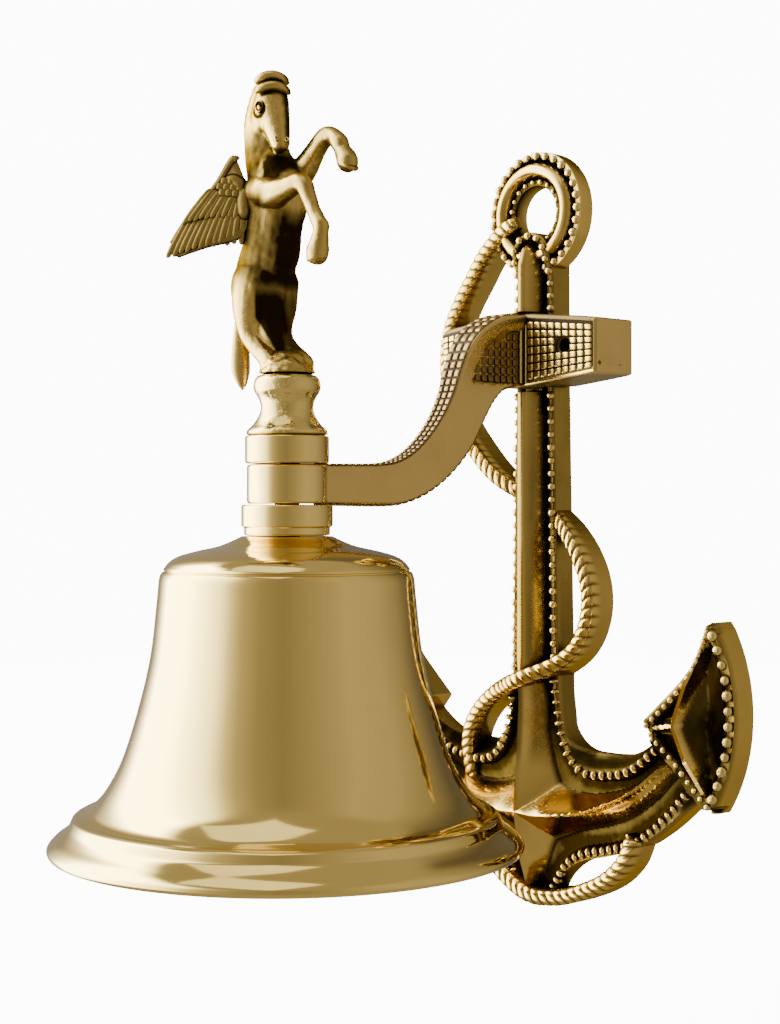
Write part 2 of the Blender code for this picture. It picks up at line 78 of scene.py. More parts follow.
def smooth_path(points, steps=4):
    """Catmull-Rom points through a list of points of any size."""
    points = [Vector(p) for p in points]
    padded = [2 * points[0] - points[1], *points, 2 * points[-1] - points[-2]]
    made = []
    for a, b, c, d in zip(padded, padded[1:], padded[2:], padded[3:]):
        for k in range(steps):
            t = k / steps
            made.append(0.5 * ((2 * b) + (c - a) * t + (2 * a - 5 * b + 4 * c - d) * t**2
                               + (3 * b - a - 3 * c + d) * t**3))
    made.append(points[-1])
    return [tuple(p) for p in made]


def even_path(path, spacing):
    """The same path as an array of evenly spaced points, its ends kept."""
    path = np.array(path, float)
    run = np.concatenate([[0], np.cumsum(np.linalg.norm(np.diff(path, axis=0), axis=1))])
    wanted = np.linspace(0, run[-1], max(2, round(run[-1] / spacing) + 1))
    return np.stack([np.interp(wanted, run, path[:, k]) for k in range(path.shape[1])], axis=1)


def mirrored(half):
    """A closed loop from its right half, which runs from the top to the bottom."""
    return list(half) + [(-x, z) for x, z in reversed(half) if x > 1e-6]


def from_path(points, path, values=None):
    """Each point's distance to a path, and the value carried by the nearest place on it."""
    best, found = np.full(len(points), 1e9), np.zeros(len(points))
    path = np.array(path, float)
    for k in range(len(path) - 1):
        run = path[k + 1] - path[k]
        share = np.clip((points - path[k]) @ run / max(run @ run, 1e-9), 0, 1)
        gap = np.linalg.norm(points - path[k] - share[:, None] * run, axis=1)
        nearer = gap < best
        best = np.where(nearer, gap, best)
        if values is not None:
            found = np.where(nearer, values[k] + share * (values[k + 1] - values[k]), found)
    return best, found


def within(points, loop):
    """True for the points that lie inside a closed loop."""
    odd = np.zeros(len(points), bool)
    loop = np.array(loop, float)
    for a, b in zip(loop, np.roll(loop, -1, axis=0)):
        crosses = (a[1] > points[:, 1]) != (b[1] > points[:, 1])
        rise = b[1] - a[1] if abs(b[1] - a[1]) > 1e-12 else 1e-12
        odd ^= crosses & (points[:, 0] < (b[0] - a[0]) * (points[:, 1] - a[1]) / rise + a[0])
    return odd


def ease(low, high, value):
    """0 below low, 1 above high, smooth between."""
    t = np.clip((value - low) / (high - low), 0, 1)
    return t * t * (3 - 2 * t)


plate_half = (arc((0, 83), 9.0, 90, 0, 12) + [(9.2, 40), (10.8, -40), (11.5, -74)]
              + arc((25.8, -80.5), 14.0, 205, 268, 10)
              + smooth_path([(33, -94.5), (42, -93.5), (50, -90), (56.5, -85.5)])
              + smooth_path([(52.2, -80.4), (60, -73.4), (67.5, -66.5), (73.5, -59.5), (77.4, -51.5),
                             (79.4, -45.6)])
              + [(81.6, -45.4)] + arc((29.9, -76.5), 60.7, 28, -28, 20) + [(81.2, -109.0), (78.0, -109.4)]
              + smooth_path([(73.5, -105.5), (66.5, -112), (58.5, -118.5), (48, -125), (35, -129.5),
                             (21, -133.5),
                             (12, -140), (6.5, -148.5), (2.2, -152.2)]))
plate_loop = mirrored(plate_half)

shank_beads = arc((0, 83), 7.6, 90, 0, 10) + [(7.9, 40), (9.3, -40), (9.9, -70)]
bay_beads = smooth_path([(9.9, -70), (11.3, -79), (13.2, -88), (17.2, -96.5), (24, -101.2), (33, -101.2),
                         (45, -98.6), (56.5, -90.5)])
lower_beads = smooth_path([(69.5, -104), (67.4, -106.3), (58.8, -114.8), (48.7, -122.4), (36.5, -126.8),
                           (23.9, -130.1), (15.4, -135.6), (9.5, -143.5), (4.5, -149.0)])
palm_inner = smooth_path([(54.6, -81.6), (62, -75), (69, -68), (74.6, -61), (78.2, -53.5), (80.2, -48.6)])
palm_outer = arc((29.9, -76.5), 59.0, 27.0, -27.0, 16)
palm_lower = smooth_path([(80.4, -106.2), (74.5, -101), (66, -92.4), (58.5, -86.6), (54.6, -81.6)])
body_loop = mirrored(shank_beads + bay_beads[1:] + [(66, -90)] + lower_beads)
palm_loop = palm_inner + palm_outer[1:] + palm_lower[1:]

shank_ridge = [(0, 88.8), (0, 86), (0, 80), (0, 0), (0, -60), (0, -80), (0, -100), (0, -117)]
shank_crest = [10.5, 15.0, 16.8, 17.0, 17.0, 17.4, 18.6, 20.0]
tip_ridge = [(0, -117), (0, -135), (0, -149.5)]
tip_crest = [20.0, 16.6, 11.5]
arm_ridge = smooth_path([(0, -117), (9.5, -117.4), (23.8, -115.2), (37.7, -110.8), (51.2, -104.0),
                         (62, -95.5)])
arm_crest = [20.0 - 5.0 * i / (len(arm_ridge) - 1) for i in range(len(arm_ridge))]
palm_ridge = [(80.6, -51.6), (75.3, -66.1), (70.6, -79.8), (75.3, -91.4), (81.0, -103.2)]
palm_crest = [13.2, 17.2, 18.0, 17.2, 13.2]
spur_ridge = [(70.6, -79.8), (64, -81.0), (58.6, -82.0)]
spur_crest = [18.0, 15.6, 13.2]


def flipped(path):
    """A path (x, z) on the anchor's other side."""
    return [(-x, z) for x, z in path]


def roof(points, border, ridges, shape, flat=0.25):
    """A hipped surface that climbs from the wall inside a border to the crest of the nearest ridge."""
    height = np.zeros(len(points))
    for path, crest in ridges:
        reach, top = from_path(points, path, crest)
        run = np.maximum(reach - flat, 0)
        height = np.maximum(height, top * shape(run / (run + np.maximum(border, 1e-3))))
    return height


def plate_face(points):
    """How far the anchor's face stands off the wall at each (x, z), and how dark it is made there: patina in the
    channels, and painted shade on the crown's flats, the keel's flanks and the palms' facets.
    """
    points = np.array(points, float)
    edge, _ = from_path(points, plate_loop + plate_loop[:1])
    side = np.sign(points[:, :1] + 1e-9)
    folded = points * np.concatenate([side, np.ones_like(side)], axis=1)
    border = np.minimum.reduce([from_path(folded, path)[0] for path in (shank_beads, bay_beads, lower_beads)])
    body = within(points, body_loop)
    faceted = ease(60.0, 88.0, -points[:, 1])
    swell = ease(74.0, 86.0, points[:, 1])
    seat = SEAT_DEPTH + 3.0 * swell
    channel = CHANNEL_DEPTH + 3.6 * swell

    def section(t):
        return (1 - faceted) * np.sqrt(np.clip(1 - (1.12 * t) ** 2, 0, 1)) + faceted * (1 - t) ** 1.25

    ridges = [(shank_ridge, shank_crest), (tip_ridge, tip_crest), (arm_ridge, arm_crest),
              (flipped(arm_ridge), arm_crest)]
    rise = roof(points, border - BORDER, ridges, section)
    face = np.where(border < BORDER, seat + (channel - seat) * ease(1.1, BORDER, border),
                    np.maximum(channel, rise))
    hidden = ease(STOCK_LOW - 0.4, STOCK_LOW, points[:, 1])
    hidden *= 1 - ease(STOCK_HIGH, STOCK_HIGH + 0.4, points[:, 1])
    face = face * (1 - hidden) + np.minimum(face, SEAT_DEPTH) * hidden
    bay = ease(15, 22, folded[:, 0]) * ease(80, 88, -points[:, 1]) * ease(-112, -106, points[:, 1])
    cove = seat - bay * 5.4 * ease(0.6, 6.5, border)
    # The body starts almost fully dark: patina in the channel, and painted shade on the flats that holds down
    # their bright reflection. Risen places are rubbed lighter below.
    hollow = 0.95 + 0.05 * ease(0.9, 2.0, border)
    # Painted shade on the keel's two flanks, which dims their highlights.
    flank_shade = 0.60 * ease(1.4, 3.4, points[:, 0]) + 0.66 * ease(-1.5, -0.4, -points[:, 0])
    flank_shade *= ease(-104, -92, points[:, 1])
    worn = np.maximum(ease(0.2, 2.4, rise - channel) * (1 - flank_shade), 0.045 * ease(80, 88, -points[:, 1])
                      * ease(4.0, 7.0, border))
    hollow *= 1 - np.where(border > BORDER, worn, 0)
    hollow = np.where(body, hollow, 0.55 + 0.35 * ease(0.3, 0.9, edge) + 0.05 * bay)
    face = np.where(body, face, cove)
    palm = within(folded, palm_loop)
    inner = from_path(folded, palm_loop + palm_loop[:1])[0]
    rise = roof(folded, inner - PALM_BORDER, [(palm_ridge, palm_crest), (spur_ridge, spur_crest)],
                lambda t: (1 - t) ** 1.3, 0.75)
    blade = np.where(inner < PALM_BORDER,
                     PALM_SEAT + (PALM_CHANNEL - PALM_SEAT) * ease(1.0, PALM_BORDER, inner),
                     np.maximum(PALM_CHANNEL, rise))
    face = np.where(palm, blade, np.where(inner < 2.6, np.maximum(face, PALM_SEAT), face))
    crest = np.minimum(from_path(folded, palm_ridge)[0], from_path(folded, spur_ridge)[0] - 0.6)
    spine = np.interp(-points[:, 1], [-z for _, z in palm_ridge], [x for x, _ in palm_ridge])
    # Painted shade on the palms' facets, darker towards the border and away from the ridge, with the right palm's
    # outer facet a little lighter. Patina lies along the border.
    facet_patina_and_shade = np.where(points[:, 0] > spine, 0.86, 0.955)
    facet_patina_and_shade = facet_patina_and_shade + (1 - facet_patina_and_shade) * np.maximum(1 - ease(2.6, 4.0, inner), 0.6 * ease(4.0, 8.5, crest))
    facet_patina_and_shade = np.where(inner < PALM_BORDER, 0.9 + 0.1 * ease(0.9, 2.0, inner), facet_patina_and_shade)
    hollow = np.where(palm, facet_patina_and_shade * ease(1.1, 2.1, crest), hollow)
    return face - 0.8 * (1 - ease(0.0, 1.0, edge)) ** 2, hollow


def new_object(name, data):
    """An object in the scene that holds a mesh, a light or a camera."""
    made = bpy.data.objects.new(name, data)
    bpy.context.scene.collection.objects.link(made)
    return made


def mesh_object(name, points, faces, angle=40.0, edges=()):
    """A named object from points in millimetres, shaded smooth except across sharper corners."""
    mesh = bpy.data.meshes.new(name)
    mesh.from_pydata([tuple(c * MM for c in p) for p in points], list(edges), faces)
    made = new_object(name, mesh)
    if faces:
        bm = bmesh.new()
        bm.from_mesh(mesh)
        bmesh.ops.remove_doubles(bm, verts=bm.verts, dist=1e-7)
        bmesh.ops.recalc_face_normals(bm, faces=bm.faces)
        bm.to_mesh(mesh)
        bm.free()
        mesh.shade_smooth()
        mesh.set_sharp_from_angle(angle=math.radians(angle))
    return made


def face_triangles(loops, extra=(), lines=()):
    """Triangles that fill the first closed loop, less the other loops, through extra points and along lines."""
    points, edges = [], []
    for loop in loops:
        start = len(points)
        points += [tuple(p) for p in loop]
        edges += [(start + i, start + (i + 1) % len(loop)) for i in range(len(loop))]
    for line in lines:
        start = len(points)
        points += [tuple(p) for p in line]
        edges += [(start + i, start + i + 1) for i in range(len(line) - 1)]
    points += [tuple(p) for p in extra]
    spots, _, faces, origins, _, _ = delaunay_2d_cdt([Vector(p) for p in points], edges, [], 1, 1e-4)
    spots = np.array([tuple(p) for p in spots])
    middles = spots[np.array(faces)].mean(axis=1)
    keep = np.ones(len(faces), bool)
    for loop in loops[1:]:
        keep &= ~within(middles, loop)
    place = {given: i for i, group in enumerate(origins) for given in group}
    return spots, [f for f, wanted in zip(faces, keep) if wanted], place


def beside(path, gap):
    """A path that runs at a small gap beside another."""
    path = even_path(path, 0.8)
    ahead = np.gradient(path, axis=0)
    ahead /= np.linalg.norm(ahead, axis=1)[:, None]
    return path + gap * np.stack([-ahead[:, 1], ahead[:, 0]], axis=1)


def skin_points(piece):
    """A piece's points in millimetres, and their normals."""
    count = len(piece.data.vertices)
    places, normals = np.empty(count * 3), np.empty(count * 3)
    piece.data.vertices.foreach_get("co", places)
    piece.data.vertices.foreach_get("normal", normals)
    return places.reshape(-1, 3) / MM, normals.reshape(-1, 3)


def mark_patina_and_shade(piece, rule):
    """Stores how dark each point is made, patina and painted shade both, from a rule on the points and their
    normals.
    """
    mask = piece.data.attributes.new("hollow", "FLOAT", "POINT")
    mask.data.foreach_set("value", np.clip(rule(*skin_points(piece)), 0, 1))


def plate_patina_and_shade(points, _):
    """The face's own darkening, and painted shade on the side walls that is heavier down the shank."""
    depth, hollow = plate_face(points[:, [0, 2]])
    # Painted shade on the side walls, heavier down the shank and lighter out along the arms.
    side = 0.16 + (0.38 + 0.18 * ease(20, 60, -points[:, 2])) * (1 - ease(28, 50, np.abs(points[:, 0])))
    return np.where(np.abs(points[:, 1] + depth) < 0.02, hollow, side)


def anchor_plate():
    """The whole plate, triangulated through its ridges and closed round its side wall and flat back."""
    rim = even_path(plate_loop + plate_loop[:1], PLATE_GRAIN)[:-1]
    lines = [even_path(path, 0.8) for path in (shank_ridge, tip_ridge, arm_ridge, palm_ridge, spur_ridge)]
    lines += [beside(arm_ridge, gap)[6:] for gap in (-1.8, -0.9, 0.9, 1.8)]
    lines += [beside(half, gap)[1:-1] for half in (palm_ridge[:3], palm_ridge[2:])
              for gap in (-1.4, -0.7, 0.7, 1.4)]
    lines += [flipped(line) for line in lines[2:]]
    reach = round(PLATE_REACH / PLATE_GRAIN)
    columns = np.arange(-reach, reach + 1) * PLATE_GRAIN
    grid = np.stack(np.meshgrid(columns, np.arange(rim[:, 1].min(), rim[:, 1].max(), PLATE_GRAIN)), axis=-1)
    grid = grid.reshape(-1, 2)
    grid = grid[within(grid, plate_loop)]
    grid = grid[from_path(grid, plate_loop + plate_loop[:1])[0] > 0.4 * PLATE_GRAIN]
    for line in lines:
        grid = grid[from_path(grid, line)[0] > 0.4 * PLATE_GRAIN]
    front, faces, place = face_triangles([rim], grid, lines)
    depth, _ = plate_face(front)
    points = [(x, -d, z) for (x, z), d in zip(front, depth)]
    faces = [tuple(f) for f in faces]
    given = len(rim)
    ring = [place[i] for i in range(given)]
    for share in (0.72, 0.36, 0.0):
        start = len(points)
        points += [(rim[k][0], -depth[place[k]] * share, rim[k][1]) for k in range(given)]
        fresh = list(range(start, start + given))
        faces += [(ring[k], ring[(k + 1) % given], fresh[(k + 1) % given], fresh[k]) for k in range(given)]
        ring = fresh
    pockets = [arc((0, z), SCREW_HEAD[0], 0, 345, 23) for z in SCREW_HEIGHTS]
    back, filled, place = face_triangles([rim, *pockets])
    start = len(points)
    points += [(x, 0.0, z) for x, z in back]
    faces += [tuple(start + i for i in f) for f in filled]
    count = 24
    for k, z in enumerate(SCREW_HEIGHTS):
        ring = [start + place[given + k * count + i] for i in range(count)]
        for radius, depth_in in (SCREW_HEAD, (SCREW_SHANK[0], SCREW_HEAD[1]), SCREW_SHANK):
            fresh = len(points)
            points += [(x, -depth_in, h) for x, h in arc((0, z), radius, 0, 345, count - 1)]
            faces += [(ring[i], ring[(i + 1) % count], fresh + (i + 1) % count, fresh + i)
                      for i in range(count)]
            ring = list(range(fresh, fresh + count))
        faces.append(tuple(ring))
    made = mesh_object("anchor_plate", points, faces, 38.0)
    mark_patina_and_shade(made, plate_patina_and_shade)
    return made


plate = anchor_plate()


def shader_group(name, inputs, outputs):
    """An empty shader node group with named sockets; inputs are (name, kind, default)."""
    group = bpy.data.node_groups.new(name, "ShaderNodeTree")
    for label, kind, default in inputs:
        socket = group.interface.new_socket(label, in_out="INPUT", socket_type=f"NodeSocket{kind}")
        socket.default_value = default
    for label, kind in outputs:
        group.interface.new_socket(label, in_out="OUTPUT", socket_type=f"NodeSocket{kind}")
    return group, group.nodes.new("NodeGroupInput"), group.nodes.new("NodeGroupOutput")


def feed(tree, socket, value):
    """Links a socket to another socket, or gives it a plain value."""
    if isinstance(value, bpy.types.NodeSocket):
        tree.links.new(value, socket)
    else:
        socket.default_value = value


def any_node(tree, kind, settings=None, **inputs):
    """A node with its settings. Inputs go by name, with underscores for spaces, or by number as i0, i1."""
    node = tree.nodes.new(kind)
    for key, value in (settings or {}).items():
        setattr(node, key, value)
    for key, value in inputs.items():
        numbered = key[0] == "i" and key[1:].isdigit()
        feed(tree, node.inputs[int(key[1:]) if numbered else key.replace("_", " ")], value)
    return node


def add_node(tree, kind, settings=None, **inputs):
    """A shader node, its kind without the prefix that they all share."""
    return any_node(tree, f"ShaderNode{kind}", settings, **inputs)


def maths(tree, operation, a, b=0.0, clamp=False):
    """The result of one arithmetic step on sockets or numbers."""
    return add_node(tree, "Math", {"operation": operation, "use_clamp": clamp}, i0=a, i1=b).outputs[0]


def blend_colour(tree, share, a, b):
    """Colour a going over to colour b as the share rises."""
    return add_node(tree, "Mix", {"data_type": "RGBA"}, i0=share, i6=a, i7=b).outputs[2]


def remap(tree, value, low, high):
    """0 at low, 1 at high, smooth between."""
    return add_node(tree, "MapRange", {"interpolation_type": "SMOOTHSTEP"}, Value=value, From_Min=low,
                    From_Max=high).outputs[0]


def patina_and_shade_group():
    """Liver-brown patina that stays in hollows and wears off what a cloth reaches, with casting grain. The ambient
    occlusion also paints shade into recesses and creases.

    A piece may store its own darkening per point, which holds its patina and its painted shade.
    """
    group, given, out = shader_group(
        "hollow_patina",
        [("Bright", "Color", (0.6, 0.42, 0.16, 1)), ("Dark", "Color", (0.05, 0.03, 0.012, 1)),
         ("Reach", "Float", 0.004), ("Amount", "Float", 1.0), ("Cling", "Float", 0.3),
         ("Polish", "Float", 0.2),
         ("Grain", "Float", 1.0)],
        [("Colour", "Color"), ("Roughness", "Float"), ("Height", "Float")])
    place = add_node(group, "TexCoord").outputs["Object"]
    blotch = add_node(group, "TexNoise", Vector=place, Scale=140.0, Detail=5.0, Roughness=0.62).outputs[0]
    speck = add_node(group, "TexNoise", Vector=place, Scale=900.0, Detail=3.0, Roughness=0.6).outputs[0]
    cloud = add_node(group, "TexNoise", Vector=place, Scale=38.0, Detail=3.0).outputs[0]
    open_sky = add_node(group, "AmbientOcclusion", {"samples": 12}, Distance=given.outputs["Reach"])
    laid = add_node(group, "Attribute", {"attribute_name": "hollow"}).outputs["Fac"]
    # Painted shade from the ambient occlusion, joined with the piece's stored patina and painted shade.
    recess_shade_and_patina = maths(group, "MAXIMUM", remap(group, open_sky.outputs["AO"], 0.90, 0.30), laid)
    uneven = maths(group, "MULTIPLY", maths(group, "SUBTRACT", blotch, 0.5), 0.9)
    cover = maths(group, "ADD", maths(group, "MULTIPLY", recess_shade_and_patina, given.outputs["Amount"]),
                  maths(group, "MULTIPLY", uneven, given.outputs["Cling"]), True)
    haze = maths(group, "MULTIPLY", remap(group, cloud, 0.42, 0.72), given.outputs["Cling"])
    cover = maths(group, "ADD", cover, maths(group, "MULTIPLY", haze, 0.55), True)
    tone = blend_colour(group, cover, given.outputs["Bright"], given.outputs["Dark"])
    group.links.new(tone, out.inputs["Colour"])
    smear = maths(group, "ADD", given.outputs["Polish"], maths(group, "MULTIPLY", cover, 0.3))
    tooth = maths(group, "MULTIPLY", maths(group, "SUBTRACT", speck, 0.5), 0.16)
    smear = maths(group, "ADD", smear, tooth, True)
    group.links.new(smear, out.inputs["Roughness"])
    pits = remap(group, speck, 0.30, 0.42)
    grain = maths(group, "ADD", maths(group, "MULTIPLY", blotch, 0.5), maths(group, "MULTIPLY", pits, 0.8))
    group.links.new(maths(group, "MULTIPLY", grain, given.outputs["Grain"]), out.inputs["Height"])
    return group


def polish_group():
    """Buffed brass: hairline scratches that run round the turned piece, cloudy finger smears, old pinholes."""
    group, given, out = shader_group(
        "buffed_surface",
        [("Bright", "Color", (0.75, 0.56, 0.24, 1)), ("Tarnish", "Color", (0.42, 0.26, 0.08, 1)),
         ("Smear", "Float", 0.2), ("Polish", "Float", 0.06), ("Centre", "Vector", (0, 0, 0))],
        [("Colour", "Color"), ("Roughness", "Float"), ("Height", "Float")])
    place = add_node(group, "TexCoord").outputs["Object"]
    local = add_node(group, "VectorMath", {"operation": "SUBTRACT"}, i0=place, i1=given.outputs["Centre"])
    parts = add_node(group, "SeparateXYZ", Vector=local.outputs[0]).outputs
    turn = maths(group, "MULTIPLY", maths(group, "ARCTAN2", parts[1], parts[0]), 0.006)
    ring = add_node(group, "CombineXYZ", X=turn, Y=0.0, Z=parts[2]).outputs[0]
    hair = add_node(group, "TexNoise", Vector=ring, Scale=1500.0, Detail=4.0, Roughness=0.7).outputs[0]
    smear = add_node(group, "TexNoise", Vector=place, Scale=55.0, Detail=6.0, Roughness=0.6).outputs[0]
    cloud = add_node(group, "TexNoise", Vector=place, Scale=16.0, Detail=3.0).outputs[0]
    spot = add_node(group, "TexVoronoi", Vector=place, Scale=150.0).outputs["Distance"]
    pinhole = maths(group, "MULTIPLY", remap(group, spot, 0.10, 0.04), remap(group, cloud, 0.56, 0.66))
    film = maths(group, "MULTIPLY", remap(group, cloud, 0.35, 0.75), given.outputs["Smear"])
    film = maths(group, "ADD", film, maths(group, "MULTIPLY", remap(group, smear, 0.5, 0.8), 0.12))
    film = maths(group, "ADD", film, maths(group, "MULTIPLY", pinhole, 0.6), True)
    group.links.new(blend_colour(group, film, given.outputs["Bright"], given.outputs["Tarnish"]),
                    out.inputs["Colour"])
    rough = maths(group, "ADD", given.outputs["Polish"], maths(group, "MULTIPLY", smear, 0.05))
    rough = maths(group, "ADD", rough, maths(group, "MULTIPLY", hair, 0.04))
    rough = maths(group, "ADD", rough, maths(group, "MULTIPLY", pinhole, 0.3), True)
    group.links.new(rough, out.inputs["Roughness"])
    waves = maths(group, "ADD", maths(group, "MULTIPLY", hair, 0.35), maths(group, "MULTIPLY", cloud, 0.6))
    group.links.new(maths(group, "SUBTRACT", waves, pinhole), out.inputs["Height"])
    return group


hollow_patina = patina_and_shade_group()
buffed_surface = polish_group()


def brass_finish(name, group, bump, distance=0.0002, rim=(1, 1, 1, 1), **values):
    """A brass whose colour, roughness and relief come from a finish group set to this piece's own values.

    The rim tint is what the brass keeps of its colour where it is seen at a glancing angle.
    """
    material = bpy.data.materials.new(name)
    material.use_nodes = True
    tree = material.node_tree
    shader = tree.nodes["Principled BSDF"]
    finish = tree.nodes.new("ShaderNodeGroup")
    finish.node_tree = group
    for key, value in values.items():
        finish.inputs[key].default_value = value
    tree.links.new(finish.outputs["Colour"], shader.inputs["Base Color"])
    tree.links.new(finish.outputs["Roughness"], shader.inputs["Roughness"])
    shader.inputs["Metallic"].default_value = 1.0
    shader.inputs["Specular Tint"].default_value = rim
    relief = add_node(tree, "Bump", Strength=bump, Distance=distance, Height=finish.outputs["Height"])
    tree.links.new(relief.outputs[0], shader.inputs["Normal"])
    return material


antique = brass_finish("antique_cast_brass", hollow_patina, 0.35, rim=(0.75, 0.55, 0.25, 1),
                       Bright=(0.66, 0.46, 0.12, 1), Dark=(0.0062, 0.0037, 0.0008, 1), Reach=0.008,
                       Amount=1.0,
                       Cling=0.13, Polish=0.11, Grain=0.3)
beading = brass_finish("rubbed_bead_brass", hollow_patina, 0.25, Bright=(0.74, 0.55, 0.18, 1),
                       Dark=(0.010, 0.005, 0.0016, 1), Reach=0.0026, Amount=1.2, Cling=0.25, Polish=0.24,
                       Grain=0.5)


def settle(piece, material, slot, body, *nodes):
    """Gives a piece its finish, lets it ride on its body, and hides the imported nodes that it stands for."""
    piece.data.materials.clear()
    piece.data.materials.append(material)
    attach(piece, body)
    if nodes:
        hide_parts(*nodes)


settle(plate, antique, "antique_brass", "mounted_bell", "anchor_casting")


# ---------------------------------------------------------------------------------------------------------
# Shackle ring at the head of the shank: a half-round polished band between two channels, with a deep
# smooth side wall. It is cast in one with the anchor.

def turned(name, profile, centre, axis="Z", count=96, angle=35.0):
    """Turns a closed profile of (radius, height) about an axis through a centre in millimetres."""
    points, faces, size = [], [], len(profile)
    for i in range(count):
        c, s = math.cos(2 * math.pi * i / count), math.sin(2 * math.pi * i / count)
        for r, h in profile:
            points.append((centre[0] + r * c, centre[1] + r * s, h) if axis == "Z"
                          else (centre[0] + r * c, h, centre[1] + r * s))
        for k in range(size):
            j, n = (k + 1) % size, ((i + 1) % count) * size
            faces.append((i * size + k, i * size + j, n + j, n + k))
    return mesh_object(name, points, faces, angle)


band = [(15.8 + 2.7 * math.cos(t), -8.3 - 3.5 * math.sin(t)) for t in np.linspace(0.12, math.pi - 0.12, 15)]
ring_profile = [(10.0, -2.4), (22.3, -2.4), (22.4, -7.9), (22.2, -8.6), (21.6, -8.9), (20.0, -8.8),
                (19.2, -7.6),
                *band, (12.5, -7.8), (12.2, -8.5), (10.8, -8.7), (10.2, -8.5), (10.0, -8.0)]
shackle_ring = turned("shackle_ring", ring_profile, (0.0, RING_Z), "Y", 112)


def ring_hollows(points, _):
    """The two channels beside the band are blackened, out to the side wall."""
    channels = (points[:, 1] > -9.3) & (points[:, 1] < -3)
    return np.where(channels & (np.hypot(points[:, 0], points[:, 2] - RING_Z) < 21.0), 0.95, 0.15)


mark_patina_and_shade(shackle_ring, ring_hollows)
settle(shackle_ring, antique, "antique_brass", "mounted_bell", "anchor_casting")


# ---------------------------------------------------------------------------------------------------------
# Rope entwined round the anchor: a laid rope with deep smooth sides, cast in one with the plate. Its lay
# is cut as slanting grooves. It leaves the foot of the ring and dies into the lower edge of the right arm.

ROPE_HALF, ROPE_BACK, ROPE_LAY = 2.9, 0.8, 3.5


def rope_path():
    """The rope's route (x, z) on the wall, given point by point."""
    return smooth_path([(-7.0, 96.6), (-15, 93.2), (-24, 86), (-31, 77), (-37.4, 68.5), (-42.3, 59),
                        (-44.0, 48), (-42.8, 36), (-37.8, 24), (-29, 13.5), (-20, 5), (-10, -1.5), (0, -6.5), (11.5, -13),
                        (20, -21), (26, -31), (27.8, -41), (25.8, -50.5), (20.5, -58.5), (12, -64.5),
                        (2, -69), (-8, -72.4), (-17, -76), (-25.5, -82), (-31, -89.5), (-33.5, -98), (-33.8, -108),
                        (-32.5, -118), (-29.5, -127.5), (-22, -136.5), (-12, -143.5), (0, -147.6), (13, -147),
                        (25, -143), (36, -137.4), (44, -129.8), (48, -121)], 6)


def rope_front(x, z):
    """How far the rope's face stands out: over the shank at its lower crossing, under it at the upper one."""
    over = math.exp(-((x / 14) ** 2) - ((z + 70) / 12) ** 2)
    under = math.exp(-((x / 15) ** 2) - ((z + 7) / 15) ** 2)
    behind = math.exp(-(((x + 33) / 12) ** 2) - ((z + 112) / 13) ** 2)
    foot = math.exp(-((x / 11) ** 2) - ((z + 148) / 9) ** 2)
    return 13.2 + 7.0 * over - 6.5 * under - 4.0 * behind + 1.5 * foot


def entwined_rope():
    """The rope as one closed body, its grooves marked for blackening."""
    path = even_path(rope_path(), 0.5)
    across = np.linspace(-1, 1, 13)
    points, faces, marks, run = [], [], [], 0.0
    count = len(across) + 4
    for i, (x, z) in enumerate(path):
        ahead = path[min(i + 1, len(path) - 1)] - path[max(i - 1, 0)]
        ahead /= np.linalg.norm(ahead)
        side = np.array([-ahead[1], ahead[0]])
        front = rope_front(x, z)
        ends = 1 - 0.75 * (1 - min(1.0, i / 5, (len(path) - 1 - i) / 5)) ** 2
        half = ROPE_HALF * (0.72 + 0.28 * min(1.0, i / 7))
        back = ROPE_BACK + (front - 4.6 - ROPE_BACK) * (1 - float(ease(8, 18, i)))
        section = [(-half, back), (-half, (front + back) * 0.5)]
        marks += [0.3, 0.3]
        for u in across:
            phase = (run / ROPE_LAY + 0.42 * u) % 1.0
            groove = math.exp(-(((phase - 0.5) / 0.12) ** 2))
            swell = math.sqrt(max(0.0, 1 - (0.97 * u) ** 2))
            lift = front - 2.3 + 2.3 * swell * ends - 0.75 * groove * (0.35 + 0.65 * swell)
            section.append((half * u * (1 - 0.06 * groove), lift))
            marks.append(0.95 * groove ** 0.6)
        section += [(half, (front + back) * 0.5), (half, back)]
        marks += [0.3, 0.3]
        points += [(x + side[0] * s, -h, z + side[1] * s) for s, h in section]
        if i:
            near, far = (i - 1) * count, i * count
            faces += [(near + k, near + (k + 1) % count, far + (k + 1) % count, far + k)
                      for k in range(count)]
            run += 0.5
    faces += [tuple(range(count)), tuple(range(len(points) - count, len(points)))]
    made = mesh_object("entwined_rope", points, faces, 50.0)
    mark_patina_and_shade(made, lambda *_: np.array(marks))
    return made


rope = entwined_rope()
settle(rope, antique, "antique_brass", "mounted_bell", "anchor_casting")


# ---------------------------------------------------------------------------------------------------------
# Foot of the anchor: a small rounded nub under the crown's point, left by the mould's gate and filed round.
# It is cast in one with the plate.

nub = turned("anchor_foot_nub", [(0.05, -152.2), (1.3, -152.1), (2.3, -151.4), (2.7, -150.0), (2.5, -147.8),
                                 (1.6, -145.5), (0.05, -145.0)], (0.0, -7.0), count=32, angle=60.0)
settle(nub, antique, "antique_brass", "mounted_bell", "anchor_casting")


# ---------------------------------------------------------------------------------------------------------
# Beading: rows of small half-sunk beads along the anchor's borders and round both edges of the ring. On the
# arms they lengthen into short bars across the row. They are cast with the anchor and rubbed bright on top.

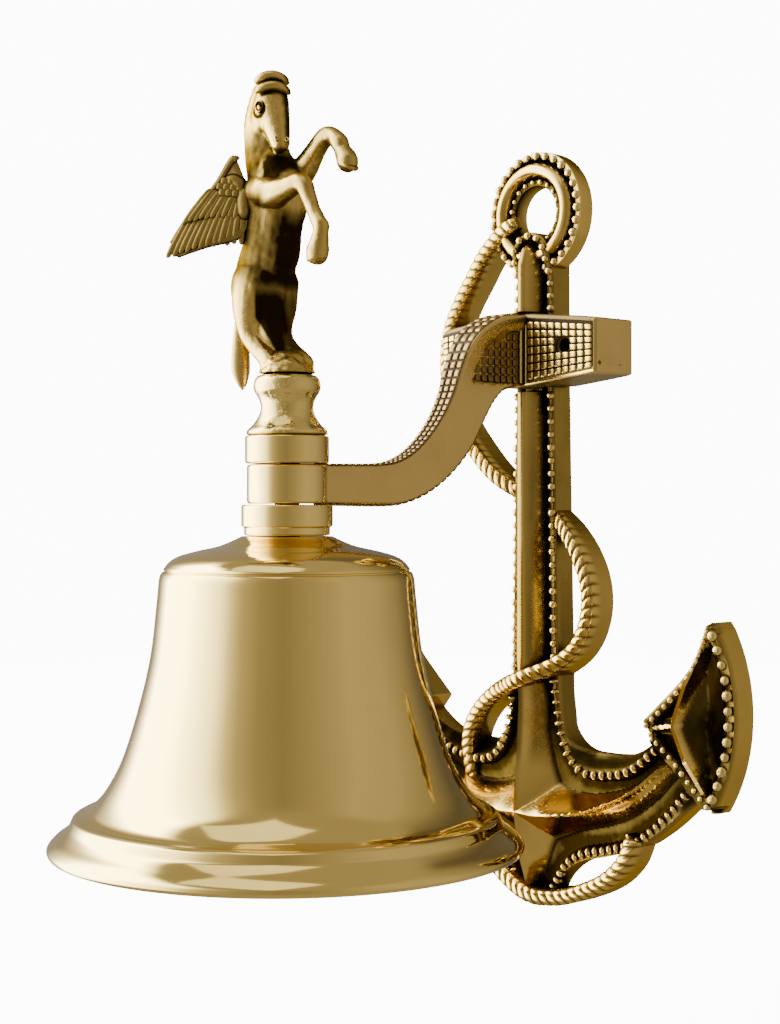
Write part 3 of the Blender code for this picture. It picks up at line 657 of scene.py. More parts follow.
def geometry_tree(name, inputs):
    """An empty geometry tree with a mesh in, a mesh out, and named inputs."""
    tree = bpy.data.node_groups.new(name, "GeometryNodeTree")
    tree.interface.new_socket("Mesh", in_out="INPUT", socket_type="NodeSocketGeometry")
    for label, kind, default in inputs:
        socket = tree.interface.new_socket(label, in_out="INPUT", socket_type=f"NodeSocket{kind}")
        if default is not None:
            socket.default_value = default
    tree.interface.new_socket("Mesh", in_out="OUTPUT", socket_type="NodeSocketGeometry")
    return tree, tree.nodes.new("NodeGroupInput"), tree.nodes.new("NodeGroupOutput")


def applied(piece):
    """The mesh that a piece's modifiers make; the modifiers go."""
    graph = bpy.context.evaluated_depsgraph_get()
    mesh = bpy.data.meshes.new_from_object(piece.evaluated_get(graph), depsgraph=graph)
    piece.modifiers.clear()
    return mesh


def grown(guide, tree, name, **values):
    """Runs a tree on a guide object and returns the result as a plain mesh object; the guide goes."""
    step = guide.modifiers.new(tree.name, "NODES")
    step.node_group = tree
    for item in tree.interface.items_tree:
        if item.in_out == "INPUT" and item.name.replace(" ", "_") in values:
            step[item.identifier] = values[item.name.replace(" ", "_")]
    mesh = applied(guide)
    bpy.data.objects.remove(guide)
    return new_object(name, mesh)


def bead_tree():
    """Sets beads of slightly uneven size along an edge path."""
    tree, given, out = geometry_tree("bead_row", [("Pitch", "Float", 0.004), ("Size", "Float", 0.001),
                                                  ("Across", "Float", 1.0), ("Along", "Float", 1.0),
                                                  ("Finish", "Material", None)])
    curve = any_node(tree, "GeometryNodeMeshToCurve", Mesh=given.outputs["Mesh"])
    spots = any_node(tree, "GeometryNodeCurveToPoints", {"mode": "LENGTH"}, Curve=curve.outputs[0],
                     Length=given.outputs["Pitch"])
    bead = any_node(tree, "GeometryNodeMeshIcoSphere", Subdivisions=2, Radius=given.outputs["Size"])
    bead = any_node(tree, "GeometryNodeSetShadeSmooth", Geometry=bead.outputs[0])
    stretch = any_node(tree, "ShaderNodeCombineXYZ", X=given.outputs["Across"], Y=given.outputs["Across"],
                       Z=given.outputs["Along"])
    wobble = any_node(tree, "FunctionNodeRandomValue", {"data_type": "FLOAT"}, Seed=7)
    wobble.inputs[2].default_value, wobble.inputs[3].default_value = 0.90, 1.08
    uneven = any_node(tree, "ShaderNodeVectorMath", {"operation": "SCALE"}, i0=stretch.outputs[0],
                      Scale=wobble.outputs[1])
    placed = any_node(tree, "GeometryNodeInstanceOnPoints", Points=spots.outputs[0], Instance=bead.outputs[0],
                      Rotation=spots.outputs["Rotation"], Scale=uneven.outputs[0])
    real = any_node(tree, "GeometryNodeRealizeInstances", Geometry=placed.outputs[0])
    done = any_node(tree, "GeometryNodeSetMaterial", Geometry=real.outputs[0],
                    Material=given.outputs["Finish"])
    tree.links.new(done.outputs[0], out.inputs[0])
    return tree


bead_row = bead_tree()


def bead_guide(name, path, depth=None):
    """An edge-only mesh along a path (x, z) on the anchor's face, or at a given depth."""
    path = even_path(path, 0.6)
    depth = plate_face(path)[0] + 0.1 if depth is None else np.full(len(path), depth)
    points = [(x, -d, z) for (x, z), d in zip(path, depth)]
    return mesh_object(name, points, [], edges=[(i, i + 1) for i in range(len(points) - 1)])


def object_from_bmesh(name, bm):
    """An object from a working mesh, which is freed."""
    mesh = bpy.data.meshes.new(name)
    bm.to_mesh(mesh)
    bm.free()
    return new_object(name, mesh)


def joined(name, parts):
    """Several plain mesh objects as one."""
    bm = bmesh.new()
    for part in parts:
        bm.from_mesh(part.data)
        bpy.data.objects.remove(part)
    return object_from_bmesh(name, bm)


def bead_rows():
    """Every row of the anchor: path, pitch, bead radius, and how far it is stretched across and along."""
    shank = arc((0, 83), 7.6, 90, 0, 10) + [(8.3, STOCK_HIGH + 1.5)]
    below = [(8.2, STOCK_LOW - 1.8), (9.3, -40), (9.75, -66)]
    rows = [(shank, 4.4, 1.45, 1.0, 1.0), (below, 4.6, 1.45, 1.0, 1.0), (bay_beads, 3.7, 1.0, 1.75, 0.95),
            (lower_beads, 3.3, 1.0, 1.8, 0.95), (palm_outer, 4.8, 1.75, 0.95, 1.1),
            (palm_inner, 3.3, 1.15, 1.0, 1.0), (palm_lower, 3.3, 1.15, 1.0, 1.0)]
    parts = []
    for k, (path, pitch, size, across, along) in enumerate(rows):
        for side in (1, -1):
            guide = bead_guide("bead_guide", [(side * x, z) for x, z in path])
            parts.append(grown(guide, bead_row, f"beads_{k}", Pitch=pitch * MM, Size=size * MM, Across=across,
                               Along=along, Finish=beading))
    for radius, count, size, depth in ((20.7, 29, 1.6, 8.9), (11.5, 19, 1.05, 8.7)):
        circle = arc((0, RING_Z), radius, 0, 360, 180)
        guide = bead_guide("bead_guide", circle, depth)
        pitch = 2 * math.pi * radius / count * MM * 0.9995
        parts.append(grown(guide, bead_row, "ring_beads", Pitch=pitch, Size=size * MM, Across=1.0, Along=1.0,
                           Finish=beading))
    return joined("anchor_beading", parts)


beads = bead_rows()
settle(beads, beading, "antique_brass", "mounted_bell", "anchor_casting")


# ---------------------------------------------------------------------------------------------------------
# Bracket: the anchor's stock, a swan neck and the eye that carries the bell, in one casting. Its back is
# slotted over the shank. The sides are filed smooth; the faces are cut into pillow-shaped squares.

AXIS_Y = (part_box("bell_shell")[0].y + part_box("bell_shell")[1].y) / 2 / MM
STOCK_MID, STOCK_END, STOCK_FRONT = 48.5, 38.4, -20.0
SHANK_SLOT, SLOT_FRONT = 11.2, -10.3
WALL_SCREW_X, WALL_SCREW_Z = 24.0, STOCK_MID + 0.5


def stock_half(x):
    """Half the stock's height at a distance from the middle."""
    return float(np.interp(abs(x), (0, 8, 20, 30, STOCK_END), (13.0, 12.9, 11.7, 10.7, 9.7)))


def stock_section(x, back, shrink=1.0, draw=0.0):
    """The stock's outline at a distance from the middle, its two front corners rounded."""
    half, front = stock_half(x) * shrink, STOCK_FRONT + draw + 1.0 * (abs(x) / STOCK_END) ** 4
    section = [(back, -half)]
    section += [(front + 1.3 - 1.3 * math.cos(t), -half + 1.3 - 1.3 * math.sin(t))
                for t in np.linspace(math.pi / 2, 0, 5)]
    section += [(front + 1.3 - 1.3 * math.cos(t), half - 1.3 + 1.3 * math.sin(t))
                for t in np.linspace(0, math.pi / 2, 5)]
    section += [(back, half)]
    return [(x, y, STOCK_MID + z) for y, z in section]


def lofted(name, sections, angle=35.0):
    """A closed body through rings of points that all have the same count."""
    count = len(sections[0])
    points = [p for section in sections for p in section]
    faces = []
    for i in range(len(sections) - 1):
        near, far = i * count, (i + 1) * count
        faces += [(near + k, near + (k + 1) % count, far + (k + 1) % count, far + k) for k in range(count)]
    faces += [tuple(range(count)), tuple(range(len(points) - count, len(points)))]
    return mesh_object(name, points, faces, angle)


def carved(piece, cutter):
    """The piece with a closed cutter taken out of it."""
    step = piece.modifiers.new("cut", "BOOLEAN")
    step.object = cutter
    piece.data = applied(piece)
    piece.data.set_sharp_from_angle(angle=math.radians(30))
    bpy.data.objects.remove(cutter)
    return piece


def bracket_stock():
    """The cross bar with its slot, its two wall-screw holes and two old casting pits in the right end."""
    ends = [(STOCK_END, 0.95, 1.6), (STOCK_END - 0.2, 0.97, 1.0), (STOCK_END - 0.6, 0.985, 0.5),
            (STOCK_END - 1.2, 0.995, 0.15), (STOCK_END - 2.0, 1.0, 0.0)]
    sections = [stock_section(-x, 0.0, shrink, draw) for x, shrink, draw in ends]
    sections += [stock_section(x, 0.0) for x in (-34, -30, -24, -20, -16, -SHANK_SLOT)]
    sections += [stock_section(x, SLOT_FRONT) for x in np.linspace(-SHANK_SLOT, SHANK_SLOT, 9)]
    sections += [stock_section(x, 0.0) for x in (SHANK_SLOT, 16, 20, 24, 30, 34)]
    sections += [stock_section(x, 0.0, shrink, draw) for x, shrink, draw in reversed(ends)]
    stock = lofted("bracket_stock", sections, 30.0)
    for x in (-WALL_SCREW_X, WALL_SCREW_X):
        hole = turned("hole", [(0.01, -22), (3.4, -22), (3.4, -19.6), (2.6, -18.8), (2.6, 2), (0.01, 2)],
                      (x, WALL_SCREW_Z), "Y", 28)
        carved(stock, hole)
    for y, z, size in ((-17.0, 42.4, 0.85), (-6.4, 42.0, 0.42)):
        pit = turned("pit", [(0.01, z - size), (size * 0.8, z - size * 0.5), (size, z),
                             (size * 0.8, z + size * 0.5), (0.01, z + size)], (STOCK_END + 0.1, y), count=14)
        carved(stock, pit)
    return stock


stock = bracket_stock()

satin = brass_finish("filed_satin_brass", hollow_patina, 0.22, Bright=(0.56, 0.40, 0.13, 1),
                     Dark=(0.020, 0.011, 0.004, 1), Reach=0.003, Amount=0.9, Cling=0.14, Polish=0.27,
                     Grain=0.3)
squares = brass_finish("rubbed_square_brass", hollow_patina, 0.3, Bright=(0.70, 0.51, 0.16, 1),
                       Dark=(0.008, 0.004, 0.0015, 1), Reach=0.0016, Amount=1.2, Cling=0.34, Polish=0.26,
                       Grain=0.7)
# A darker copy of the squares' brass: painted shade on the neck's sunken panels and pebbles.
shaded_squares = brass_finish("unrubbed_square_brass", hollow_patina, 0.3, Bright=(0.27, 0.175, 0.060, 1),
                              Dark=(0.006, 0.003, 0.001, 1), Reach=0.002, Amount=1.2, Cling=0.4, Polish=0.36,
                              Grain=0.8)
blackened = brass_finish("blackened_ground_brass", hollow_patina, 0.4, Bright=(0.016, 0.009, 0.0032, 1),
                         Dark=(0.003, 0.0016, 0.0006, 1), Reach=0.003, Amount=1.2, Cling=0.5, Polish=0.42,
                         Grain=1.0)


def stock_patina_and_shade(points, _):
    """Painted shade makes the screw holes and the slot black inside, and brown fills the front between the
    squares.
    """
    out = np.abs(points[:, 0])
    # Painted shade inside the wall-screw holes and the slot.
    holes = np.hypot(out - WALL_SCREW_X, points[:, 2] - WALL_SCREW_Z) < 3.2
    slot = (out < 11.5) & (points[:, 1] > -11)
    front = 0.85 * (1 - ease(-18.9, -18.2, points[:, 1])) * (1 - ease(36.4, 37.2, out))
    return np.where(holes | slot, 1.0, front)


mark_patina_and_shade(stock, stock_patina_and_shade)
settle(stock, satin, "antique_brass", "mounted_bell", "bracket_arm")

neck_keys = [(-112.5, 0.1, 6.2, 3.4), (-106, 0.0, 6.3, 3.4), (-100, 0.0, 6.4, 3.4), (-88, 0.0, 6.6, 3.5),
             (-78, 0.8, 6.9, 3.6), (-68.0, 4.4, 7.4, 3.7), (-59.0, 10.6, 8.0, 3.9), (-51.5, 18.6, 8.4, 4.2),
             (-46.0, 27.8, 8.6, 4.6), (-41.5, 36.5, 9.8, 5.2), (-36.0, 43.6, 11.6, 5.8),
             (-28.0, 47.8, 12.4, 6.2),
             (-19.2, 48.6, 12.7, 6.4)]
neck_line = smooth_path(neck_keys, 16)
panel_loop = [(-45.6, 36.0)] + smooth_path([(-45.4, 36.4), (-44.0, 40.8), (-41.6, 45.4), (-38.5, 49.2),
                                            (-34.0, 52.2), (-27.2, 54.7), (-19.0, 56.2)], 5) + [(-19.0, 36.0)]
PANEL_SINK = 1.2


def neck_frame(index):
    """The neck's centre, its outward direction in the plane of the curve, half height and half width."""
    y, z, half, width = neck_line[index]
    near, far = neck_line[max(index - 1, 0)], neck_line[min(index + 1, len(neck_line) - 1)]
    ahead = Vector((far[0] - near[0], far[1] - near[1])).normalized()
    return Vector((y, z)), Vector((-ahead.y, ahead.x)), half, width


def swan_neck():
    """The neck from the eye to the stock, soft at its corners, with a sunken panel on each side."""
    corner, steps = 0.9, 26
    sections = []
    for index in range(len(neck_line)):
        centre, out, half, width = neck_frame(index)
        turns = [(math.cos(t), math.sin(t)) for t in np.linspace(0, math.pi / 2, 4)]
        side = np.linspace(-half + corner, half - corner, steps)
        section = [(width, v) for v in side]
        section += [(width - corner + corner * c, half - corner + corner * s) for c, s in turns[1:]]
        section += [(width * k, half) for k in (0.4, 0, -0.4)]
        section += [(-width + corner - corner * s, half - corner + corner * c) for c, s in turns[:-1]]
        section += [(-width, v) for v in reversed(side)]
        section += [(-width + corner - corner * c, -half + corner - corner * s) for c, s in turns[1:]]
        section += [(width * k, -half) for k in (-0.4, 0, 0.4)]
        section += [(width - corner + corner * s, -half + corner - corner * c) for c, s in turns[:-1]]
        flat = np.array([tuple(centre + out * v) for _, v in section])
        gap, _ = from_path(flat, panel_loop + panel_loop[:1])
        sunk = np.where(within(flat, panel_loop), PANEL_SINK * ease(0.0, 0.7, gap), 0.0)
        sections.append([(x - math.copysign(s, x), y, z) for (x, _), (y, z), s in zip(section, flat, sunk)])
    return lofted("bracket_swan_neck", sections, 40.0)


neck = swan_neck()
settle(neck, satin, "antique_brass", "mounted_bell", "bracket_arm")

EYE_RADIUS, EYE_TOP, EYE_BOTTOM, BOLT_BORE = 12.9, 6.4, -6.2, 4.3


def rounded_ring(inner, outer, low, high, soft):
    """The closed profile of a ring with softened outer edges."""
    turns = np.linspace(0, math.pi / 2, 5)
    profile = [(inner, low)] + [(outer - soft + soft * math.sin(t), low + soft - soft * math.cos(t))
                                for t in turns]
    profile += [(outer - soft + soft * math.cos(t), high - soft + soft * math.sin(t)) for t in turns]
    return profile + [(inner, high)]


bell_axis = (0.0, AXIS_Y)
eye = turned("bracket_eye", rounded_ring(BOLT_BORE, EYE_RADIUS, EYE_BOTTOM, EYE_TOP, 1.0), bell_axis,
             count=120)
mirror = brass_finish("mirror_polished_brass", buffed_surface, 0.05, 0.0001, Bright=(0.80, 0.61, 0.19, 1),
                      Tarnish=(0.54, 0.36, 0.10, 1), Smear=0.14, Polish=0.05, Centre=(0.0, AXIS_Y * MM, 0.0))
settle(eye, mirror, "polished_brass", "mounted_bell", "bracket_arm")


# ---------------------------------------------------------------------------------------------------------
# Chequered faces of the bracket: small squares left standing between filed grooves, on the stock's front,
# in the sunken panels at the head of the neck, and along the neck's outer and inner edges.

def square_tree():
    """Turns each face of a sheet into a closed pillow-topped square, a little smaller than the face."""
    tree, given, out = geometry_tree("chequered_face", [("Height", "Float", 0.001), ("Fill", "Float", 0.8),
                                                        ("Crown", "Float", 0.8),
                                                        ("Finish", "Material", None)])
    apart = any_node(tree, "GeometryNodeSplitEdges", Mesh=given.outputs["Mesh"])
    shrunk = any_node(tree, "GeometryNodeScaleElements", Geometry=apart.outputs[0],
                      Scale=given.outputs["Fill"])
    raised = any_node(tree, "GeometryNodeExtrudeMesh", Mesh=shrunk.outputs[0],
                      Offset_Scale=given.outputs["Height"])
    crown = any_node(tree, "GeometryNodeScaleElements", Geometry=raised.outputs[0],
                     Selection=raised.outputs["Top"],
                     Scale=given.outputs["Crown"])
    under = any_node(tree, "GeometryNodeFlipFaces", Mesh=shrunk.outputs[0])
    both = tree.nodes.new("GeometryNodeJoinGeometry")
    tree.links.new(crown.outputs[0], both.inputs[0])
    tree.links.new(under.outputs[0], both.inputs[0])
    closed = any_node(tree, "GeometryNodeMergeByDistance", Geometry=both.outputs[0], Distance=1e-6)
    rounded = any_node(tree, "GeometryNodeSubdivisionSurface", Mesh=closed.outputs[0], Level=2,
                       Edge_Crease=0.38)
    real = any_node(tree, "GeometryNodeRealizeInstances", Geometry=rounded.outputs[0])
    soft = any_node(tree, "GeometryNodeSetShadeSmooth", Geometry=real.outputs[0])
    done = any_node(tree, "GeometryNodeSetMaterial", Geometry=soft.outputs[0],
                    Material=given.outputs["Finish"])
    tree.links.new(done.outputs[0], out.inputs[0])
    return tree


chequer = square_tree()


def patch(name, rows):
    """An open sheet of squares through rows of points, facing as (next column) x (next row)."""
    wide = len(rows[0])
    faces = [(r * wide + c, r * wide + c + 1, (r + 1) * wide + c + 1, (r + 1) * wide + c)
             for r in range(len(rows) - 1) for c in range(wide - 1)]
    mesh = bpy.data.meshes.new(name)
    mesh.from_pydata([tuple(v * MM for v in p) for row in rows for p in row], [], faces)
    return new_object(name, mesh)


def kept_faces(sheet, wanted):
    """Drops the squares of a sheet whose middle, in millimetres, isn't wanted."""
    bm = bmesh.new()
    bm.from_mesh(sheet.data)
    spare = [f for f in bm.faces if not wanted(f.calc_center_median() / MM)]
    bmesh.ops.delete(bm, geom=spare, context="FACES")
    bm.to_mesh(sheet.data)
    bm.free()
    return sheet


def stock_squares():
    """Eight lines by ten on each half of the stock's front, less what the screw hole takes."""
    parts = []
    for side in (1, -1):
        rows = []
        for r in range(8):
            row = []
            for c in range(10):
                x = 6.9 + (36.9 - 6.9) * c / 9
                half = stock_half(x)
                row.append((side * x, STOCK_FRONT + 0.35 + (abs(x) / STOCK_END) ** 4,
                            STOCK_MID - half + 1.9 + (2 * half - 4.6) * r / 7))
            rows.append(row if side > 0 else row[::-1])
        sheet = patch("sheet", rows)
        sheet = kept_faces(sheet, lambda p: math.hypot(abs(p.x) - WALL_SCREW_X, p.z - WALL_SCREW_Z) > 2.9)
        parts.append(grown(sheet, chequer, "squares", Height=1.0 * MM, Fill=0.99, Crown=0.80, Finish=squares))
    return joined("stock_squares", parts)


def panel_squares():
    """The chequer inside the neck's two sunken panels."""
    parts = []
    for side in (1, -1):
        rows = []
        for r in range(8):
            z = 36.2 + 3.0 * r
            row = []
            for c in range(10):
                y = -46.6 + 2.95 * c
                width = np.interp(y, [k[0] for k in neck_keys], [k[3] for k in neck_keys])
                row.append((side * (width - PANEL_SINK - 0.3), y, z))
            rows.append(row if side > 0 else row[::-1])
        sheet = kept_faces(patch("sheet", rows), lambda p: bool(
            within(np.array([[p.y, p.z]]), panel_loop)[0]
            and from_path(np.array([[p.y, p.z]]), panel_loop)[0][0] > 1.1))
        parts.append(grown(sheet, chequer, "squares", Height=1.0 * MM, Fill=0.97, Crown=0.76,
                           Finish=shaded_squares))
    return joined("panel_squares", parts)


def neck_pebbles():
    """Three rounded squares abreast along the neck's outer and inner edges."""
    parts = []
    line = even_path(neck_line, 0.5)
    run = np.concatenate([[0], np.cumsum(np.linalg.norm(np.diff(line[:, :2], axis=0), axis=1))])
    for face in (1, -1):
        rows = []
        for r in np.arange(1.5, run[-1] - 0.5, 2.75):
            y, z, half, width = (float(np.interp(r, run, line[:, k])) for k in range(4))
            ahead = Vector([float(np.interp(r + 0.6, run, line[:, k]) - np.interp(r - 0.6, run, line[:, k]))
                            for k in (0, 1)]).normalized()
            out = Vector((-ahead.y, ahead.x)) * face
            skin = Vector((y, z)) + out * (half - 0.35)
            if skin.x > STOCK_FRONT - 0.4 or (face < 0 and skin.x > STOCK_FRONT - 2):
                continue
            rows.append([(width * 0.95 * (2 * c / 3 - 1) * face, skin.x, skin.y) for c in range(4)])
        parts.append(grown(patch("sheet", rows), chequer, "pebbles", Height=1.0 * MM, Fill=0.97, Crown=0.66,
                           Finish=shaded_squares))
    return joined("neck_pebbles", parts)


def square_grounds():
    """Thin blackened slabs under the squares of the stock, and strips under the neck's pebbles."""
    parts = []
    for side in (1, -1):
        slab = []
        for x in np.linspace(6.6, 37.1, 22):
            front, half = STOCK_FRONT + (x / STOCK_END) ** 4, stock_half(x)
            low, high = 2.5 - half, half - 1.6
            slab.append([(side * x, y, STOCK_MID + z) for y, z in (
                (front + 0.5, low), (front - 0.1, low), (front - 0.1, high), (front + 0.5, high))])
        hole = turned("hole", [(0.01, -24), (3.2, -24), (3.2, -16), (0.01, -16)],
                      (side * WALL_SCREW_X, WALL_SCREW_Z), "Y", 24)
        parts.append(carved(lofted("ground", slab, 30.0), hole))
    for face in (1, -1):
        strip = []
        for index in range(len(neck_line)):
            centre, out, half, width = neck_frame(index)
            low, high = centre + out * face * (half - 0.5), centre + out * face * (half + 0.06)
            if high.x < STOCK_FRONT - 0.4:
                strip.append([(x, *flat) for x,
                              flat in ((-width * 0.9, low), (width * 0.9, low), (width * 0.9, high),
                                                         (-width * 0.9, high))])
        parts.append(lofted("ground", strip, 50.0))
    return joined("chequer_grounds", parts)


settle(square_grounds(), blackened, "antique_brass", "mounted_bell", "bracket_arm")
for made, finish in ((stock_squares(), squares), (panel_squares(), shaded_squares),
                     (neck_pebbles(), shaded_squares)):
    settle(made, finish, "antique_brass", "mounted_bell", "bracket_arm")


def bar(name, path, radius, count=8):
    """A round bar through points, capped at both ends; radius is one value or one per point."""
    path = [Vector(p) for p in path]
    sizes = [float(r) for r in radius] if isinstance(radius, (list, tuple)) else [radius] * len(path)
    sections, side = [], None
    for i, point in enumerate(path):
        ahead = (path[min(i + 1, len(path) - 1)] - path[max(i - 1, 0)]).normalized()
        side = ahead.orthogonal() if side is None else side - side.dot(ahead) * ahead
        side.normalize()
        up = ahead.cross(side)
        sections.append([tuple(point + sizes[i] * (math.cos(t) * side + math.sin(t) * up))
                         for t in np.linspace(0, 2 * math.pi, count, endpoint=False)])
    return lofted(name, sections, 60.0)


def bracket_ribs():
    """A bright bead along the stock's lower edge and two upright ribs where the neck's panel meets it."""
    parts = []
    low = [(x, STOCK_FRONT + (abs(x) / STOCK_END) ** 4 + 0.25, STOCK_MID - stock_half(x) + 0.9)
           for x in np.linspace(-37.6, 37.6, 41)]
    parts.append(bar("rib", low, 0.85))
    for side in (1, -1):
        for x, y, wide in ((6.25, -19.9, 0.75), (5.6, -22.0, 0.65)):
            parts.append(bar("rib", [(side * x, y, 36.6), (side * x, y, 46), (side * x, y, 57.4)], wide))
    return joined("bracket_ribs", parts)


settle(bracket_ribs(), beading, "antique_brass", "mounted_bell", "bracket_arm")


# ---------------------------------------------------------------------------------------------------------
# Bell: one turned and buffed brass shell with a domed crown, a fine groove at the shoulder, a long flaring
# waist, and a step above a heavy rolled lip. It is bored at the crown for the hanging bolt.

def bell_profile():
    """The bell's closed section (radius, height), round the outside from the crown and back up inside."""
    crown, wall = -16.6, 3.4
    dome = smooth_path([(14.7, crown), (18.5, -18.4), (22.6, -19.9), (29, -21.3), (34.6, -22.9),
                        (37.6, -24.7),
                        (39.3, -26.7)], 5)
    groove = [(39.5, -27.25), (39.15, -27.5), (39.15, -27.75), (39.95, -28.0), (40.5, -28.8)]
    waist = smooth_path([(40.9, -30.5), (41.6, -38), (43.5, -54.5), (47.3, -71), (52.3, -87), (57.6, -97.2),
                         (62.3, -102.4), (65.9, -104.4)], 7)
    lip = smooth_path([(66.6, -104.5), (67.9, -105.3), (68.6, -106.7), (69.3, -108.2), (71.2, -110.0),
                       (73.9, -112.0), (75.7, -114.0), (75.9, -115.2), (75.3, -116.2), (74.2, -116.5)], 5)
    inner = [(72.0, -116.3), (70.5, -115.3), (65.5, -110.0), (60.0, -104.0)]
    inner += [(r - wall, z) for r, z in reversed(waist[:-14])]
    inner += [(36.6, -29.6), (33, -26.6), (22, -23.6), (14.7, crown - 4.4), (BOLT_BORE, crown - 4.4)]
    return [(BOLT_BORE, crown)] + dome + groove + waist + lip + inner


bell = turned("bell_shell_polished", bell_profile(), bell_axis, count=192, angle=32.0)
settle(bell, mirror, "polished_brass", "mounted_bell", "bell_shell")


# ---------------------------------------------------------------------------------------------------------
# Stack on the bell's axis: two plain collars, one under and one over the bracket's eye, and the waisted
# base that the figure stands on. Each is turned from bar, and only hairline seams show between them.

lower_collar = rounded_ring(BOLT_BORE, 14.7, -16.3, -6.5, 0.7)
lower_collar = [(r - (0.9 if z < -13.6 and r > 13 else 0.0), z) for r, z in lower_collar]
lower_collar[6:6] = [(13.8, -13.9), (14.1, -13.5), (14.7, -13.3)]
collar_low = turned("neck_collar_turned", lower_collar, bell_axis, count=120)
settle(collar_low, mirror, "polished_brass", "mounted_bell", "neck_collar")
collar_high = turned("top_collar_turned", rounded_ring(BOLT_BORE, 13.5, 6.7, 15.6, 0.8), bell_axis, count=120)
settle(collar_high, mirror, "polished_brass", "mounted_bell", "top_collar")

pitted = brass_finish("pitted_polished_brass", hollow_patina, 0.4, Bright=(0.80, 0.61, 0.19, 1),
                      Dark=(0.05, 0.028, 0.01, 1), Reach=0.003, Amount=0.8, Cling=0.34, Polish=0.07,
                      Grain=0.9)
base_line = smooth_path([(13.1, 16.3), (12.7, 17.4), (10.9, 19.2), (9.2, 21.8), (8.4, 24.6), (9.1, 27.4),
                         (10.5, 29.8), (10.8, 31.8), (10.3, 33.7), (9.3, 34.8)], 5)
base_profile = [(BOLT_BORE, 15.9), (12.7, 15.9)] + base_line + [(8.6, 35.0), (BOLT_BORE, 35.0)]
finial = turned("finial_base_turned", base_profile, bell_axis, count=120)
settle(finial, pitted, "polished_brass", "mounted_bell", "finial_base")


# ---------------------------------------------------------------------------------------------------------
# Hanging parts and fasteners: bolt, washers, nut, link, clapper and arm screws are plain turned or bent
# brass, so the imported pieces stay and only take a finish.

fastener = brass_finish("turned_fastener_brass", hollow_patina, 0.25, Bright=(0.64, 0.47, 0.16, 1),
                        Dark=(0.08, 0.05, 0.02, 1), Reach=0.003, Amount=0.9, Cling=0.3, Polish=0.22,
                        Grain=0.4)
aged = brass_finish("aged_clapper_brass", hollow_patina, 0.3, Bright=(0.52, 0.36, 0.11, 1),
                    Dark=(0.05, 0.03, 0.012, 1), Reach=0.004, Amount=0.9, Cling=0.4, Polish=0.26, Grain=0.6)
fastener_names = ("hanger_bolt", "inner_washer", "inner_lock_washer", "inner_nut", "clapper_link",
                  "arm_screw_upper", "arm_screw_lower", "arm_washer_upper", "arm_washer_lower")
for names, finish in ((fastener_names, fastener), (("clapper_rod", "clapper_ball", "lanyard_eye"), aged)):
    for node in names:
        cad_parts[node].data.materials.clear()
        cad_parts[node].data.materials.append(finish)


# ---------------------------------------------------------------------------------------------------------
# Figure: a rearing winged horse on a rough mound, heading along +X. It is an investment casting, browned
# all over and then rubbed on its high places; its hooves stand on the finial base.

SHOW_SIDE = (0.669, 0.743, 0.0)  # from left to right across the side that the figure is made to show


def at(x, y, z):
    """A point given from the bell's axis."""
    return (x, y + AXIS_Y, z)


def limb(keys, count=20):
    """A tapering round limb through (x, y, z, radius) keys, with rounded ends, as a closed mesh."""
    line = smooth_path([(*at(x, y, z), r) for x, y, z, r in keys], 5)
    first, last = Vector(line[0]), Vector(line[-1])
    start = (first - Vector(line[1])).to_3d().normalized()
    end = (last - Vector(line[-2])).to_3d().normalized()
    cap_in = [(*(Vector(line[0][:3]) + start * line[0][3] * k), line[0][3] * math.sqrt(1 - k * k))
              for k in (0.95, 0.8, 0.5)]
    cap_out = [(*(Vector(line[-1][:3]) + end * line[-1][3] * k), line[-1][3] * math.sqrt(1 - k * k))
               for k in (0.5, 0.8, 0.95)]
    line = cap_in + line + cap_out
    return bar("limb", [p[:3] for p in line], [p[3] for p in line], count)


def lump(centre, radii, turn=(0, 0, 0)):
    """An ellipsoid of flesh, its radii along its own turned axes, angles in degrees."""
    bm = bmesh.new()
    bmesh.ops.create_icosphere(bm, subdivisions=3, radius=1.0)
    spin = Matrix.Rotation(math.radians(turn[2]), 4, "Z") @ Matrix.Rotation(math.radians(turn[1]), 4, "Y")
    spin = spin @ Matrix.Rotation(math.radians(turn[0]), 4, "X")
    size = Matrix.Diagonal((*radii, 1.0))
    whole = Matrix.Scale(MM, 4) @ Matrix.Translation(at(*centre)) @ spin @ size
    bmesh.ops.transform(bm, verts=bm.verts, matrix=whole)
    return object_from_bmesh("lump", bm)


